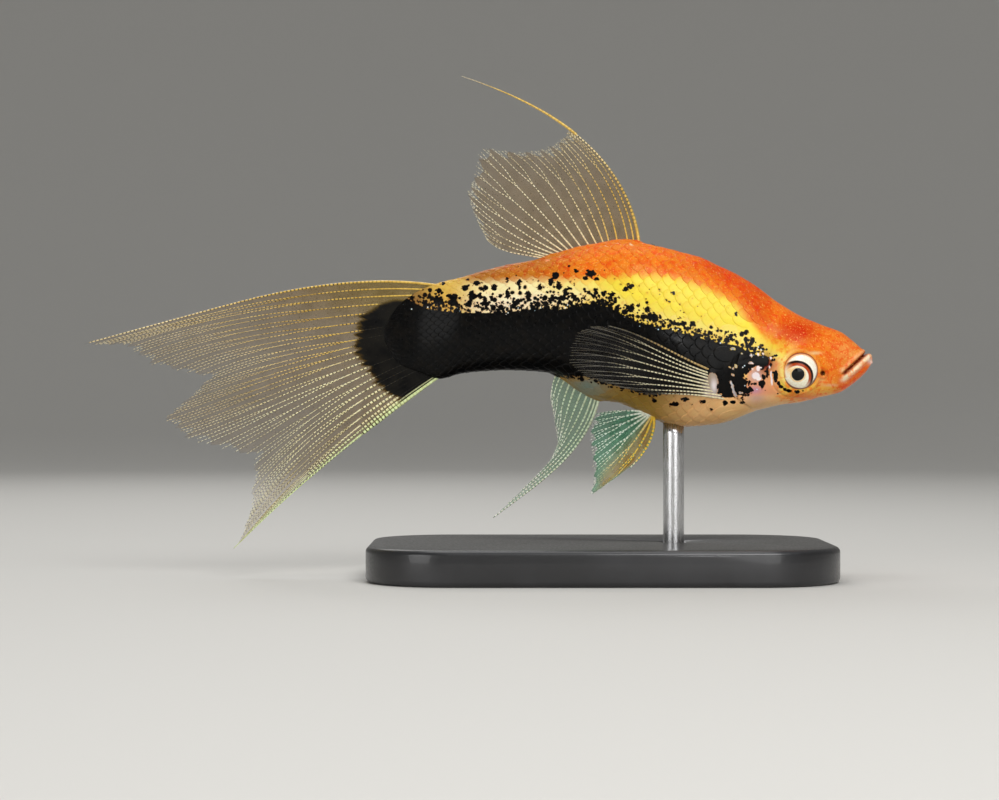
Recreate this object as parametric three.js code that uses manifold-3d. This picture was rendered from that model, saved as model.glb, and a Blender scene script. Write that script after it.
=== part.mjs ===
// A female lyretail swordtail, life size, swimming to +X above a plain display stand.
// Millimetres, +Z up. The origin is the middle of the base plate's underside, the plane
// y = 0 splits the fish, and its right flank faces -Y.

import * as THREE from 'three';
import { mergeVertices } from 'three/addons/utils/BufferGeometryUtils.js';
import Module from 'manifold-3d';

const wasm = await Module();
wasm.setup();

// Clearances and fineness
const GAP = 0.3; // between touching pieces
const RING_SIDES = 30; // corners round the body
const REACH = 60; // half width of a cutting block

// The body from snout to tail root: x, back, belly, half width, height share of the widest line
const BODY = [
  [38.7, 31.3, 30.4, 1.2, 0.5],
  [37.9, 32.1, 29.3, 2.2, 0.5],
  [36.9, 33.0, 28.3, 2.8, 0.5],
  [35.7, 34.0, 27.3, 3.25, 0.48],
  [34.3, 35.0, 26.4, 3.65, 0.46],
  [31.4, 36.1, 25.7, 4.3, 0.45],
  [28.6, 37.3, 25.0, 4.9, 0.45],
  [25.7, 39.0, 24.7, 5.3, 0.45],
  [22.9, 41.0, 24.0, 5.6, 0.44],
  [20.0, 42.9, 22.9, 5.9, 0.43],
  [17.1, 44.3, 22.0, 6.15, 0.42],
  [14.3, 45.6, 21.7, 6.35, 0.41],
  [11.4, 46.4, 21.6, 6.4, 0.41],
  [8.6, 47.1, 22.3, 6.3, 0.42],
  [5.7, 47.7, 23.7, 6.0, 0.43],
  [2.9, 47.9, 24.9, 5.6, 0.44],
  [0, 47.4, 25.4, 5.2, 0.45],
  [-2.9, 46.9, 26.9, 4.75, 0.46],
  [-5.7, 46.1, 28.8, 4.3, 0.47],
  [-8.6, 45.4, 29.4, 3.9, 0.48],
  [-14.3, 44.3, 29.6, 3.25, 0.5],
  [-20.0, 42.7, 29.1, 2.6, 0.5],
  [-22.9, 42.0, 28.4, 2.25, 0.5],
  [-25.7, 40.9, 29.3, 1.85, 0.5],
  [-28.6, 38.9, 30.5, 1.35, 0.5],
  [-30.0, 37.0, 32.2, 1.05, 0.5],
  [-30.7, 35.4, 33.8, 0.85, 0.5],
];
const [NOSE_X, TAIL_X] = [BODY[0][0], BODY.at(-1)[0]];
const RING_STEPS = [[21, 0.95], [-9, 2.1], [TAIL_X, 1.5]]; // down to x, one ring each step
const BACK_SQUARENESS = [2.0, 2.7]; // superellipse powers on the trunk and at the snout
const BELLY_SQUARENESS = [2.25, 2.3];
const SNOUT_START_X = 22;

// Partings, as seen from the right side
const GILL_EDGE = [[21.6, 52], [21.0, 40], [20.7, 36], [20.0, 32.6], [19.0, 29.9], [18.8, 27.7],
  [19.6, 25.6], [21.4, 24.2], [24.6, 22.6], [30, 16]];
const STALK_X = -9.3;
const GILL_COVER = [[20.9, 34.2], [20.0, 32.2], [19.1, 29.9], [18.9, 27.7], [19.7, 25.8],
  [21.5, 24.9], [23.6, 25.6], [24.7, 27.6], [24.7, 30.4], [23.9, 33.0], [22.4, 34.5]];
const COVER_DEPTH = 0.8;
const COVER_RISE = 0.12; // how far the cover stands proud of the head
const JAW = [[41, 34.6], [37.9, 31.7], [34.8, 28.8], [32.4, 25.9], [31.2, 23], [36, 18], [44, 24]];

// Mouth: a roll of lip laid round the snout, which the parting of the jaw splits in two
const LIP_CORNER = [34.9, 28.75];
const LIP_FRONT = [37.65, 31.3];
const LIP_HALF_WIDTH = 3.0;
const LIP_RADIUS = [0.2, 0.55]; // at the corners and in front

// Eyes and nostrils
const EYE = [28.1, 29.4];
const EYE_RADIUS = 2.4;
const EYE_FLATNESS = 0.65;
const EYE_SUNK = 0.8;
const RIM_RADIUS = 2.5;
const RIM_THICKNESS = 0.4;
const RIM_SUNK = 0.2;
const NOSTRIL = [31.9, 29.2];
const NOSTRIL_RADIUS = 0.36;
const NOSTRIL_DEPTH = 0.9;

// Fins: half thicknesses of the membrane and of a ray at its root and tip
const MEMBRANE = 0.27;
const MARGIN = 0.2;
const RAY_ROOT = 0.5;
const RAY_TIP = 0.34;
const RAY_FOOT = 0.42; // from a ray's crest to the membrane beside it
const FOOT_SHARE = 0.32; // the most of the way to the next ray that a foot takes
const SCALLOP = 0.7; // how far the membrane falls short of the ray tips
const EDGE_INSET = 0.19; // keeps the gap between two lobes of the tail

// Rays in side view, from the leading one to the last: root x, root z, length, then the
// heading in degrees at the root, half way and at the tip, where 0 is +X and 90 is up.
const DORSAL_STREAMER = [5.57, 47.5, 37.2, 95, 140, 161];
const DORSAL_STREAMER_FREE = 0.53; // the share after which it leaves the membrane
const DORSAL_STREAMER_START = 0.48; // where the thread itself starts, let into the membrane
const DORSAL_STREAMER_RADIUS = [0.42, 0.22];
const DORSAL_RAYS = [
  firstPart(DORSAL_STREAMER, DORSAL_STREAMER_FREE),
  [4.3, 47.6, 18.9, 97, 120, 142],
  [1.7, 47.4, 17.0, 98, 118, 134],
  [0.4, 47.2, 16.8, 114, 119, 144],
  [-1.4, 46.9, 17.6, 124, 124, 145],
  [-3.4, 46.5, 20.4, 130, 132, 135],
  [-4.6, 46.2, 17.2, 142, 143, 140],
  [-5.5, 46.0, 16.3, 160, 146, 138],
  [-6.7, 45.7, 12.6, 166, 156, 132],
  [-7.7, 45.4, 9.3, 163, 168, 130],
];
const CAUDAL_RAYS = [
  [-22.9, 41.6, 51.8, 171, 193, 194],
  [-22.9, 40.0, 45.4, 181, 188, 201],
  [-22.9, 38.4, 42.0, 191, 188, 205],
  [-22.9, 36.7, 33.7, 199, 190, 206],
  [-22.9, 35.0, 41.2, 192, 198, 200],
  [-22.9, 33.5, 38.8, 194, 203, 199],
  [-22.9, 32.1, 30.6, 194, 212, 216],
  [-22.9, 30.8, 35.4, 205, 217, 240],
  [-22.9, 29.7, 38.3, 211, 221, 231],
  [-22.9, 28.7, 38.7, 215, 220, 225],
];
const CAUDAL_LOBES = { upper: [0, 3, 7], middle: [3, 6.3, 6], lower: [6.3, 9, 6] };
const ANAL_RAYS = [
  [-0.1, 25.9, 23.9, 260, 224, 218],
  [-0.9, 26.3, 19.0, 259, 230, 217],
  [-2.0, 26.9, 12.4, 246, 246, 229],
  [-3.6, 28.0, 9.8, 244, 258, 257],
  [-4.9, 28.8, 5.8, 238, 252, 265],
  [-6.1, 29.3, 4.0, 244, 256, 267],
];
const PELVIC_RAYS = [
  [7.6, 22.7, 8.3, 274, 240, 224],
  [7.3, 22.7, 14.4, 251, 229, 217],
  [7.0, 22.8, 12.0, 232, 228, 218],
  [6.7, 23.0, 10.1, 218, 218, 218],
  [6.4, 23.2, 9.0, 207, 207, 207],
  [6.1, 23.4, 7.9, 190, 195, 199],
  [5.9, 23.7, 6.7, 176, 183, 193],
];
const PECTORAL_RAYS = [
  [16.15, 29.2, 17.2, 162, 154, 170],
  [16.05, 28.7, 19.5, 167, 155, 171],
  [15.85, 28.3, 20.9, 165, 160, 173],
  [15.65, 27.8, 21.1, 169, 164, 182],
  [15.45, 27.3, 20.4, 169, 170, 185],
  [15.25, 26.8, 18.0, 172, 174, 180],
  [15.05, 26.3, 13.8, 172, 178, 171],
  [14.85, 25.8, 8.9, 172, 179, 184],
];

// Poses of the paired fins: root, outward slope, and how the left one is turned and sized
const PECTORAL_ROOT = [15.55, 27.5];
const PECTORAL_SPREAD = Math.tan(THREE.MathUtils.degToRad(27));
const LEFT_PECTORAL = { turn: -68, curl: 34, size: 1.12 };
const LEFT_PECTORAL_SPREAD = Math.tan(THREE.MathUtils.degToRad(22));
const PELVIC_ROOT = [7.0, 23.0];
const PELVIC_OFFSET = 1.5;
const PELVIC_SPREAD = Math.tan(THREE.MathUtils.degToRad(17));
const LEFT_PELVIC = { turn: 12, curl: 0, size: 0.72 };
const LEFT_PELVIC_SPREAD = Math.tan(THREE.MathUtils.degToRad(36));

// Stand
const BASE = { length: 66, width: 42, height: 5, corner: 12, bevel: 0.8 };
const ROD_X = 10.5;
const ROD_RADIUS = 1.5;
const SOCKET_DEPTH = 3;

// Colours
const COLOURS = {
  head: 0xe8702a,
  jaw: 0xe89a50,
  cover: 0x8a4a28,
  trunk: 0xd9a040,
  stalk: 0x4a3a26,
  eye: 0x14161c,
  fin: 0xb79a5c,
  tail: 0x6f6238,
  pectoral: 0x3a3428,
  base: 0x2a2a2c,
  rod: 0xc8c8cc,
};

// Arithmetic

function mix(a, b, share) {
  return a + (b - a) * share;
}

// The powers of cosine and sine that draw a superellipse, with their sign kept.
function rounded(value, power) {
  return Math.sign(value) * Math.abs(value) ** (2 / power);
}

// All columns of a table at x, on smooth curves through its rows, which run from large x
// to small.
function tableAt(rows, x) {
  const last = rows.length - 1;
  let i = 1;
  while (i < last && x < rows[i][0]) {
    i += 1;
  }
  const [p, q] = [rows[i - 1], rows[i]];
  const [before, after] = [rows[Math.max(i - 2, 0)], rows[Math.min(i + 1, last)]];
  const span = q[0] - p[0];
  const t = (x - p[0]) / span;
  return p.map((value, column) => {
    const startSlope = (q[column] - before[column]) / (q[0] - before[0]);
    const endSlope = (after[column] - p[column]) / (after[0] - p[0]);
    return value * (1 + 2 * t) * (1 - t) ** 2 + q[column] * t * t * (3 - 2 * t)
      + span * (startSlope * t * (1 - t) ** 2 - endSlope * t * t * (1 - t));
  });
}

// Meshes and solids

function meshFrom(points, faces) {
  const geometry = new THREE.BufferGeometry();
  geometry.setAttribute('position', new THREE.Float32BufferAttribute(points.flat(), 3));
  geometry.setIndex(signedVolume(points, faces) < 0 ? faces.flatMap(f => [f[0], f[2], f[1]])
    : faces.flat());
  return geometry;
}

function signedVolume(points, faces) {
  return faces.reduce((sum, [a, b, c]) => {
    const [p, q, r] = [points[a], points[b], points[c]];
    return sum + (p[0] * (q[1] * r[2] - q[2] * r[1]) - p[1] * (q[0] * r[2] - q[2] * r[0])
      + p[2] * (q[0] * r[1] - q[1] * r[0])) / 6;
  }, 0);
}

function solid(geometry) {
  const bare = new THREE.BufferGeometry();
  bare.setAttribute('position', geometry.getAttribute('position'));
  bare.setIndex(geometry.index);
  const merged = mergeVertices(bare, 1e-4);
  return new wasm.Manifold(new wasm.Mesh({
    numProp: 3,
    vertProperties: new Float32Array(merged.getAttribute('position').array),
    triVerts: new Uint32Array(merged.index.array),
  }));
}

// The largest closed surface of a solid, as a geometry.
function geometryOf(body) {
  const largest = body.decompose().sort((a, b) => b.volume() - a.volume())[0];
  const mesh = largest.getMesh();
  const geometry = new THREE.BufferGeometry();
  geometry.setAttribute('position', new THREE.BufferAttribute(mesh.vertProperties, 3));
  geometry.setIndex(new THREE.BufferAttribute(mesh.triVerts, 1));
  return geometry;
}

// Rings of equal length joined into a closed tube, with a point at each end.
function tubeOf(rings, start, end) {
  const sides = rings[0].length;
  const points = [...rings.flat(), start, end];
  const [startIndex, endIndex] = [points.length - 2, points.length - 1];
  const lastRing = (rings.length - 1) * sides;
  const faces = [];
  for (let side = 0; side < sides; side += 1) {
    const next = (side + 1) % sides;
    faces.push([startIndex, next, side], [endIndex, lastRing + side, lastRing + next]);
    for (let ring = 0; ring < lastRing; ring += sides) {
      faces.push([ring + side, ring + next, ring + sides + next]);
      faces.push([ring + side, ring + sides + next, ring + sides + side]);
    }
  }
  return meshFrom(points, faces);
}

// An outline in x and z, cut through from y = near to y = far.
function prism(outline, near = -REACH, far = REACH) {
  const shape = new THREE.Shape(outline.map(([x, z]) => new THREE.Vector2(x, z)));
  const geometry = new THREE.ExtrudeGeometry(shape, { depth: far - near, bevelEnabled: false });
  return solid(geometry.rotateX(Math.PI / 2).translate(0, far, 0));
}

function smoothLine(points, divisions) {
  const curve = new THREE.SplineCurve(points.map(([x, z]) => new THREE.Vector2(x, z)));
  return curve.getPoints(divisions).map(p => [p.x, p.y]);
}

// A line moved sideways: a positive distance moves it to the left of its direction, which
// widens a closed outline that runs clockwise.
function shifted(line, distance, closed) {
  const count = line.length;
  return line.map(([x, z], i) => {
    const before = line[closed ? (i + count - 1) % count : Math.max(i - 1, 0)];
    const after = line[closed ? (i + 1) % count : Math.min(i + 1, count - 1)];
    const along = new THREE.Vector2(after[0] - before[0], after[1] - before[1]).normalize();
    return [x - along.y * distance, z + along.x * distance];
  });
}

// Body

// Point of the body's skin, grown by a margin, at x and at an angle from the right flank
// over the back.
function skinPoint(x, angle, grow) {
  const [, back, belly, half, wide] = tableAt(BODY, x);
  const snout = THREE.MathUtils.smoothstep(x, SNOUT_START_X, NOSE_X);
  const above = Math.sin(angle) > 0;
  const [trunkPower, snoutPower] = above ? BACK_SQUARENESS : BELLY_SQUARENESS;
  const power = mix(trunkPower, snoutPower, snout);
  const middle = mix(belly, back, wide);
  const height = (above ? back - middle : middle - belly) + grow;
  return [
    x,
    -(half + grow) * rounded(Math.cos(angle), power),
    middle + height * rounded(Math.sin(angle), power),
  ];
}

function ringPlaces() {
  const places = [NOSE_X];
  for (const [end, step] of RING_STEPS) {
    const start = places.at(-1);
    const count = Math.round((start - end) / step);
    for (let i = 1; i <= count; i += 1) {
      places.push(mix(start, end, i / count));
    }
  }
  return places;
}

function bodyShell(grow, front = NOSE_X, rear = TAIL_X) {
  const rings = ringPlaces().filter(x => x <= front && x >= rear).map(x =>
    Array.from({ length: RING_SIDES }, (_, side) =>
      skinPoint(x, (2 * Math.PI * (side + 0.5)) / RING_SIDES, grow)));
  const middleOf = ring => ring.reduce((sum, p) => sum + p[2], 0) / RING_SIDES;
  const [first, last] = [rings[0], rings.at(-1)];
  const noseTip = [first[0][0] + 0.25 + grow, 0, middleOf(first)];
  const tailTip = [last[0][0] - 0.15 - grow, 0, middleOf(last)];
  return solid(tubeOf(rings, noseTip, tailTip));
}

// Distance of the skin from the middle plane at a place in side view.
function skinDepth([x, z]) {
  let [low, high] = [-Math.PI / 2, Math.PI / 2];
  for (let i = 0; i < 40; i += 1) {
    const angle = (low + high) / 2;
    [low, high] = skinPoint(x, angle, 0)[2] < z ? [angle, high] : [low, angle];
  }
  return -skinPoint(x, low, 0)[1];
}

// Turns a piece made round +Y so that it faces out of the skin at a place on one side.
// The side is -1 for the right flank and 1 for the left.
function setOnSkin(geometry, [x, z], side, rise) {
  const step = 0.4;
  const slopeX = (skinDepth([x + step, z]) - skinDepth([x - step, z])) / (2 * step);
  const slopeZ = (skinDepth([x, z + step]) - skinDepth([x, z - step])) / (2 * step);
  const out = new THREE.Vector3(-slopeX, side, -slopeZ).normalize();
  const turn = new THREE.Quaternion().setFromUnitVectors(new THREE.Vector3(0, 1, 0), out);
  const centre = new THREE.Vector3(x, side * skinDepth([x, z]), z).addScaledVector(out, rise);
  return geometry.applyQuaternion(turn).translate(centre.x, centre.y, centre.z);
}

function eyeball(side, grow) {
  const ball = new THREE.SphereGeometry(1, 18, 10).scale(
    EYE_RADIUS + grow, EYE_RADIUS * EYE_FLATNESS + grow, EYE_RADIUS + grow);
  return setOnSkin(ball, EYE, side, -EYE_SUNK);
}

function orbitalRim(side) {
  const ring = new THREE.TorusGeometry(RIM_RADIUS, RIM_THICKNESS, 6, 20).rotateX(Math.PI / 2);
  return solid(setOnSkin(ring, EYE, side, -RIM_SUNK));
}

function nostril(side) {
  const hole = new THREE.CylinderGeometry(NOSTRIL_RADIUS, NOSTRIL_RADIUS, 2 * NOSTRIL_DEPTH, 8);
  return solid(setOnSkin(hole, NOSTRIL, side, 0));
}

function lipRoll() {
  const [places, sides] = [16, 8];
  const run = new THREE.Vector2(LIP_FRONT[0] - LIP_CORNER[0], LIP_FRONT[1] - LIP_CORNER[1]);
  const slope = run.clone().normalize();
  const middleAt = angle => new THREE.Vector3(
    LIP_CORNER[0] + run.x * Math.cos(angle),
    LIP_HALF_WIDTH * Math.sin(angle),
    LIP_CORNER[1] + run.y * Math.cos(angle),
  );
  const rings = Array.from({ length: places + 1 }, (_, i) => {
    const angle = Math.PI * (i / places - 0.5);
    const forward = Math.cos(angle);
    const middle = middleAt(angle);
    const out = new THREE.Vector3(slope.x * forward, Math.sin(angle), slope.y * forward);
    const across = new THREE.Vector3(-slope.y, 0, slope.x);
    const radius = mix(LIP_RADIUS[0], LIP_RADIUS[1], forward);
    return Array.from({ length: sides }, (_unused, side) => {
      const turn = (2 * Math.PI * side) / sides;
      return middle.clone().addScaledVector(out, radius * Math.cos(turn))
        .addScaledVector(across, radius * Math.sin(turn)).toArray();
    });
  });
  return solid(tubeOf(rings, middleAt(-Math.PI / 2).toArray(), middleAt(Math.PI / 2).toArray()));
}

// The head, jaw, gill covers, trunk and tail stalk, parted from one body by thin cuts.
function bodyPieces() {
  const body = [lipRoll(), orbitalRim(-1), orbitalRim(1)].reduce(
    (sum, piece) => sum.add(piece), bodyShell(0));
  const gillEdge = smoothLine(GILL_EDGE, 24);
  const gillBlock = prism([...gillEdge, [REACH, 16], [REACH, 52]]);
  const gillBlockGrown = prism([...shifted(gillEdge, -GAP, false), [REACH, 16], [REACH, 52]]);
  const stalkBlock = prism([[STALK_X, 0], [STALK_X, 60], [-REACH, 60], [-REACH, 0]]);
  const stalkEnd = STALK_X + GAP;
  const stalkBlockGrown = prism([[stalkEnd, 0], [stalkEnd, 60], [-REACH, 60], [-REACH, 0]]);

  const coverLine = smoothLine([...GILL_COVER, GILL_COVER[0]], 26).slice(0, -1);
  const coverCore = bodyShell(-COVER_DEPTH - GAP, 33, 12);
  const pieces = {};
  let head = body.intersect(gillBlock);
  for (const [name, side] of [['right', -1], ['left', 1]]) {
    const [near, far] = side < 0 ? [-REACH, 0] : [0, REACH];
    pieces[`gill_cover_${name}`] = bodyShell(COVER_RISE).intersect(prism(coverLine, near, far))
      .subtract(bodyShell(-COVER_DEPTH, 33, 12));
    head = head.subtract(prism(shifted(coverLine, -GAP, true), near, far).subtract(coverCore))
      .subtract(solid(eyeball(side, GAP)))
      .subtract(nostril(side));
  }
  pieces.head = head.subtract(prism(shifted(JAW, -GAP, true)));
  pieces.lower_jaw = body.intersect(prism(JAW));
  pieces.trunk = body.subtract(gillBlockGrown).subtract(stalkBlockGrown);
  pieces.tail_stalk = body.intersect(stalkBlock);
  return pieces;
}

// Fins

// Heading of a ray at a share of its length, which turns smoothly from root to tip.
function headingAt([, , , root, half, tip], share) {
  return root * (1 - share) * (1 - 2 * share) + 4 * half * share * (1 - share)
    + tip * share * (2 * share - 1);
}

// The same ray cut off after a share of its length.
function firstPart(ray, share) {
  const [x, z, length, root] = ray;
  return [x, z, length * share, root, headingAt(ray, share / 2), headingAt(ray, share)];
}

// The ray turned and resized about a root, with its tip curled further round.
function turned([x, z, length, ...headings], root, { turn, curl, size }) {
  const offset = new THREE.Vector2(x - root[0], z - root[1]).multiplyScalar(size)
    .rotateAround(new THREE.Vector2(), THREE.MathUtils.degToRad(turn));
  const bent = headings.map((heading, i) => heading + turn + (curl * i) / 2);
  return [root[0] + offset.x, root[1] + offset.y, length * size, ...bent];
}

// A function that gives the point at each share of a ray. Below 0 the ray runs straight
// on into the body.
function rayPath(ray) {
  const steps = 40;
  const [x, z, length] = ray;
  const direction = share => {
    const heading = THREE.MathUtils.degToRad(headingAt(ray, share));
    return [Math.cos(heading), Math.sin(heading)];
  };
  const points = [[x, z]];
  for (let i = 0; i < steps; i += 1) {
    const [dx, dz] = direction((i + 0.5) / steps);
    points.push([points[i][0] + (dx * length) / steps, points[i][1] + (dz * length) / steps]);
  }
  return share => {
    if (share < 0) {
      const [dx, dz] = direction(0);
      return [x + dx * share * length, z + dz * share * length];
    }
    const i = Math.min(Math.floor(share * steps), steps - 1);
    const part = share * steps - i;
    return [mix(points[i][0], points[i + 1][0], part), mix(points[i][1], points[i + 1][1], part)];
  };
}

// A closed sheet over a fan of rays. count rays are spread between guides number from and
// to, and are raised as ridges on both faces. sink is how far the roots run into the body,
// and depth gives y at a place in side view. An edge in the middle of the fan is held back
// by half a gap, for the sheet beside it.
function finSheet({ guides, count, rows, sink, depth, from = 0, to = guides.length - 1 }) {
  const paths = guides.map(rayPath);
  const guideBefore = place => Math.min(Math.floor(place), guides.length - 2);
  const lengthAt = place => {
    const i = guideBefore(place);
    return mix(guides[i][2], guides[i + 1][2], place - i);
  };
  const pointAt = (place, share) => {
    const i = guideBefore(place);
    const at = share < 0 ? (share * sink) / lengthAt(place) : share;
    const [p, q] = [paths[i](at), paths[i + 1](at)];
    return [mix(p[0], q[0], place - i), mix(p[1], q[1], place - i)];
  };
  const shares = [-1, ...Array.from({ length: rows + 1 }, (_, i) => i / rows)];
  const spacing = (to - from) / count;
  const columns = [];
  const addColumn = (place, neighbour, ridge, reach = RAY_FOOT) => {
    columns.push(shares.map(share => {
      const at = ridge || share < 0 ? share : share * (1 - SCALLOP / lengthAt(place));
      const p = pointAt(place, at);
      const q = pointAt(neighbour, at);
      const distance = Math.hypot(q[0] - p[0], q[1] - p[1]);
      const foot = place === neighbour ? 0 : Math.min(reach / distance, FOOT_SHARE);
      const shape = ridge ? mix(RAY_ROOT, RAY_TIP, Math.max(share, 0)) : MEMBRANE;
      return {
        at: [mix(p[0], q[0], foot), mix(p[1], q[1], foot)],
        half: share === 1 ? MARGIN : shape,
      };
    }));
  };
  for (let ray = 0; ray < count; ray += 1) {
    const place = from + (ray + 0.5) * spacing;
    if (ray === 0) {
      addColumn(from, place, false, from > 0 ? EDGE_INSET : 0);
    } else {
      addColumn(place, place - spacing, false);
    }
    addColumn(place, place, true);
    if (ray === count - 1) {
      addColumn(to, place, false, to < guides.length - 1 ? EDGE_INSET : 0);
    } else {
      addColumn(place, place + spacing, false);
    }
  }
  return sheetOf(columns, depth);
}

// Closes a grid of places and half thicknesses into a solid sheet, with the same triangles
// on both faces.
function sheetOf(columns, depth) {
  const rows = columns[0].length;
  const flat = columns.flat();
  const side = sign => flat.map(({ at: [x, z], half }) => [x, depth(x, z) + sign * half, z]);
  const points = [...side(-1), ...side(1)];
  const back = flat.length;
  const faces = [];
  const band = (a, b) => faces.push([b, a, a + back], [b, a + back, b + back]);
  for (let c = 0; c < columns.length - 1; c += 1) {
    for (let r = 0; r < rows - 1; r += 1) {
      const [a, b] = [c * rows + r, c * rows + r + 1];
      const [d, e] = [a + rows, b + rows];
      faces.push([a, b, e], [a, e, d]);
      faces.push([a + back, e + back, b + back], [a + back, d + back, e + back]);
    }
    band((c + 1) * rows, c * rows);
    band(c * rows + rows - 1, (c + 1) * rows + rows - 1);
  }
  const lastColumn = (columns.length - 1) * rows;
  for (let r = 0; r < rows - 1; r += 1) {
    band(r, r + 1);
    band(lastColumn + r + 1, lastColumn + r);
  }
  return solid(meshFrom(points, faces));
}

// The free end of the first dorsal ray, as a tapering round thread grown by a margin.
function dorsalStreamer(grow) {
  const [steps, sides] = [12, 8];
  const [ray, depth] = [DORSAL_STREAMER, dorsalDepth];
  const start = DORSAL_STREAMER_START - grow / ray[2];
  const path = rayPath(ray);
  const rings = Array.from({ length: steps + 1 }, (_, i) => {
    const share = mix(start, 1, i / steps);
    const [x, z] = path(share);
    const heading = THREE.MathUtils.degToRad(headingAt(ray, share));
    const radius = mix(...DORSAL_STREAMER_RADIUS, i / steps) + grow;
    return Array.from({ length: sides }, (_unused, side) => {
      const angle = (2 * Math.PI * side) / sides;
      const across = radius * Math.cos(angle);
      return [
        x - Math.sin(heading) * across,
        depth(x, z) + radius * Math.sin(angle),
        z + Math.cos(heading) * across,
      ];
    });
  });
  const endPoint = share => {
    const [x, z] = path(share);
    return [x, depth(x, z), z];
  };
  return solid(tubeOf(rings, endPoint(start), endPoint(1)));
}

// The fish's gentle bend to one side, which grows from the middle of the stalk to the tail.
function bend(x) {
  const behind = Math.max(-16 - x, 0);
  return -0.0011 * behind * behind;
}

// A soft wave across the rays that grows from the root.
function ripple(x, z, height, pitch) {
  return height * Math.sin((z + 0.35 * x) * pitch);
}

function dorsalDepth(x, z) {
  const above = Math.max(z - 46, 0);
  return 0.0024 * above * above + ripple(x, z, 0.02 * above, 0.5);
}

function caudalDepth(x, z) {
  const behind = Math.max(-30 - x, 0);
  return bend(x) + ripple(x, z, 0.022 * behind, 0.42);
}

function analDepth(x, z) {
  return 0.045 * Math.max(26 - z, 0);
}

function pectoralDepth(x) {
  const behind = PECTORAL_ROOT[0] - x;
  return -skinDepth(PECTORAL_ROOT) - PECTORAL_SPREAD * behind + 0.012 * behind * behind;
}

function leftPectoralDepth(x, z) {
  return skinDepth(PECTORAL_ROOT) + LEFT_PECTORAL_SPREAD * (z - PECTORAL_ROOT[1]);
}

function pelvicDepth(side) {
  const spread = side < 0 ? PELVIC_SPREAD : LEFT_PELVIC_SPREAD;
  return (x, z) => side * (PELVIC_OFFSET + spread * (PELVIC_ROOT[1] - z));
}

function finPieces() {
  const leftPectoral = PECTORAL_RAYS.map(ray => turned(ray, PECTORAL_ROOT, LEFT_PECTORAL));
  const leftPelvic = PELVIC_RAYS.map(ray => turned(ray, PELVIC_ROOT, LEFT_PELVIC));
  const pieces = {
    dorsal_fin: finSheet({
      guides: DORSAL_RAYS, count: 13, rows: 7, sink: 1.2, depth: dorsalDepth,
    }).subtract(dorsalStreamer(GAP)),
    dorsal_streamer: dorsalStreamer(0),
    anal_fin: finSheet({ guides: ANAL_RAYS, count: 8, rows: 7, sink: 1.4, depth: analDepth }),
    pectoral_fin_right: finSheet({
      guides: PECTORAL_RAYS, count: 11, rows: 6, sink: 2.4, depth: pectoralDepth,
    }),
    pectoral_fin_left: finSheet({
      guides: leftPectoral, count: 11, rows: 6, sink: 2.4, depth: leftPectoralDepth,
    }),
    pelvic_fin_right: finSheet({
      guides: PELVIC_RAYS, count: 6, rows: 5, sink: 1.4, depth: pelvicDepth(-1),
    }),
    pelvic_fin_left: finSheet({
      guides: leftPelvic, count: 6, rows: 5, sink: 1.4, depth: pelvicDepth(1),
    }),
  };
  for (const [lobe, [from, to, count]] of Object.entries(CAUDAL_LOBES)) {
    pieces[`caudal_fin_${lobe}`] = finSheet({
      guides: CAUDAL_RAYS, count, rows: 9, sink: 1, depth: caudalDepth, from, to,
    });
  }
  const clearance = bodyShell(GAP);
  return Object.fromEntries(
    Object.entries(pieces).map(([name, piece]) => [name, piece.subtract(clearance)]));
}

// Stand

function basePlate() {
  const { length, width, height, corner, bevel } = BASE;
  const [right, top] = [length / 2 - bevel, width / 2 - bevel];
  const shape = new THREE.Shape();
  shape.moveTo(corner - right, -top);
  shape.absarc(right - corner, corner - top, corner, -Math.PI / 2, 0);
  shape.absarc(right - corner, top - corner, corner, 0, Math.PI / 2);
  shape.absarc(corner - right, top - corner, corner, Math.PI / 2, Math.PI);
  shape.absarc(corner - right, corner - top, corner, Math.PI, Math.PI * 1.5);
  const plate = new THREE.ExtrudeGeometry(shape, {
    depth: height - 2 * bevel, bevelThickness: bevel, bevelSize: bevel, bevelSegments: 1,
    curveSegments: 5,
  }).translate(0, 0, bevel);
  return solid(plate).subtract(upright(ROD_RADIUS + GAP, height - SOCKET_DEPTH, height + 1));
}

function upright(radius, bottom, top) {
  const post = new THREE.CylinderGeometry(radius, radius, top - bottom, 20);
  return solid(post.rotateX(Math.PI / 2).translate(ROD_X, 0, (top + bottom) / 2));
}

function rod() {
  const belly = tableAt(BODY, ROD_X)[2];
  return upright(ROD_RADIUS, BASE.height - SOCKET_DEPTH + GAP, belly + 2)
    .subtract(bodyShell(GAP));
}

// Assembly

const group = new THREE.Group();

function addPiece(name, geometry, color, roughness = 0.5, metalness = 0) {
  const material = new THREE.MeshStandardMaterial({ color, roughness, metalness });
  const mesh = new THREE.Mesh(geometry, material);
  mesh.name = name;
  group.add(mesh);
}

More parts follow.
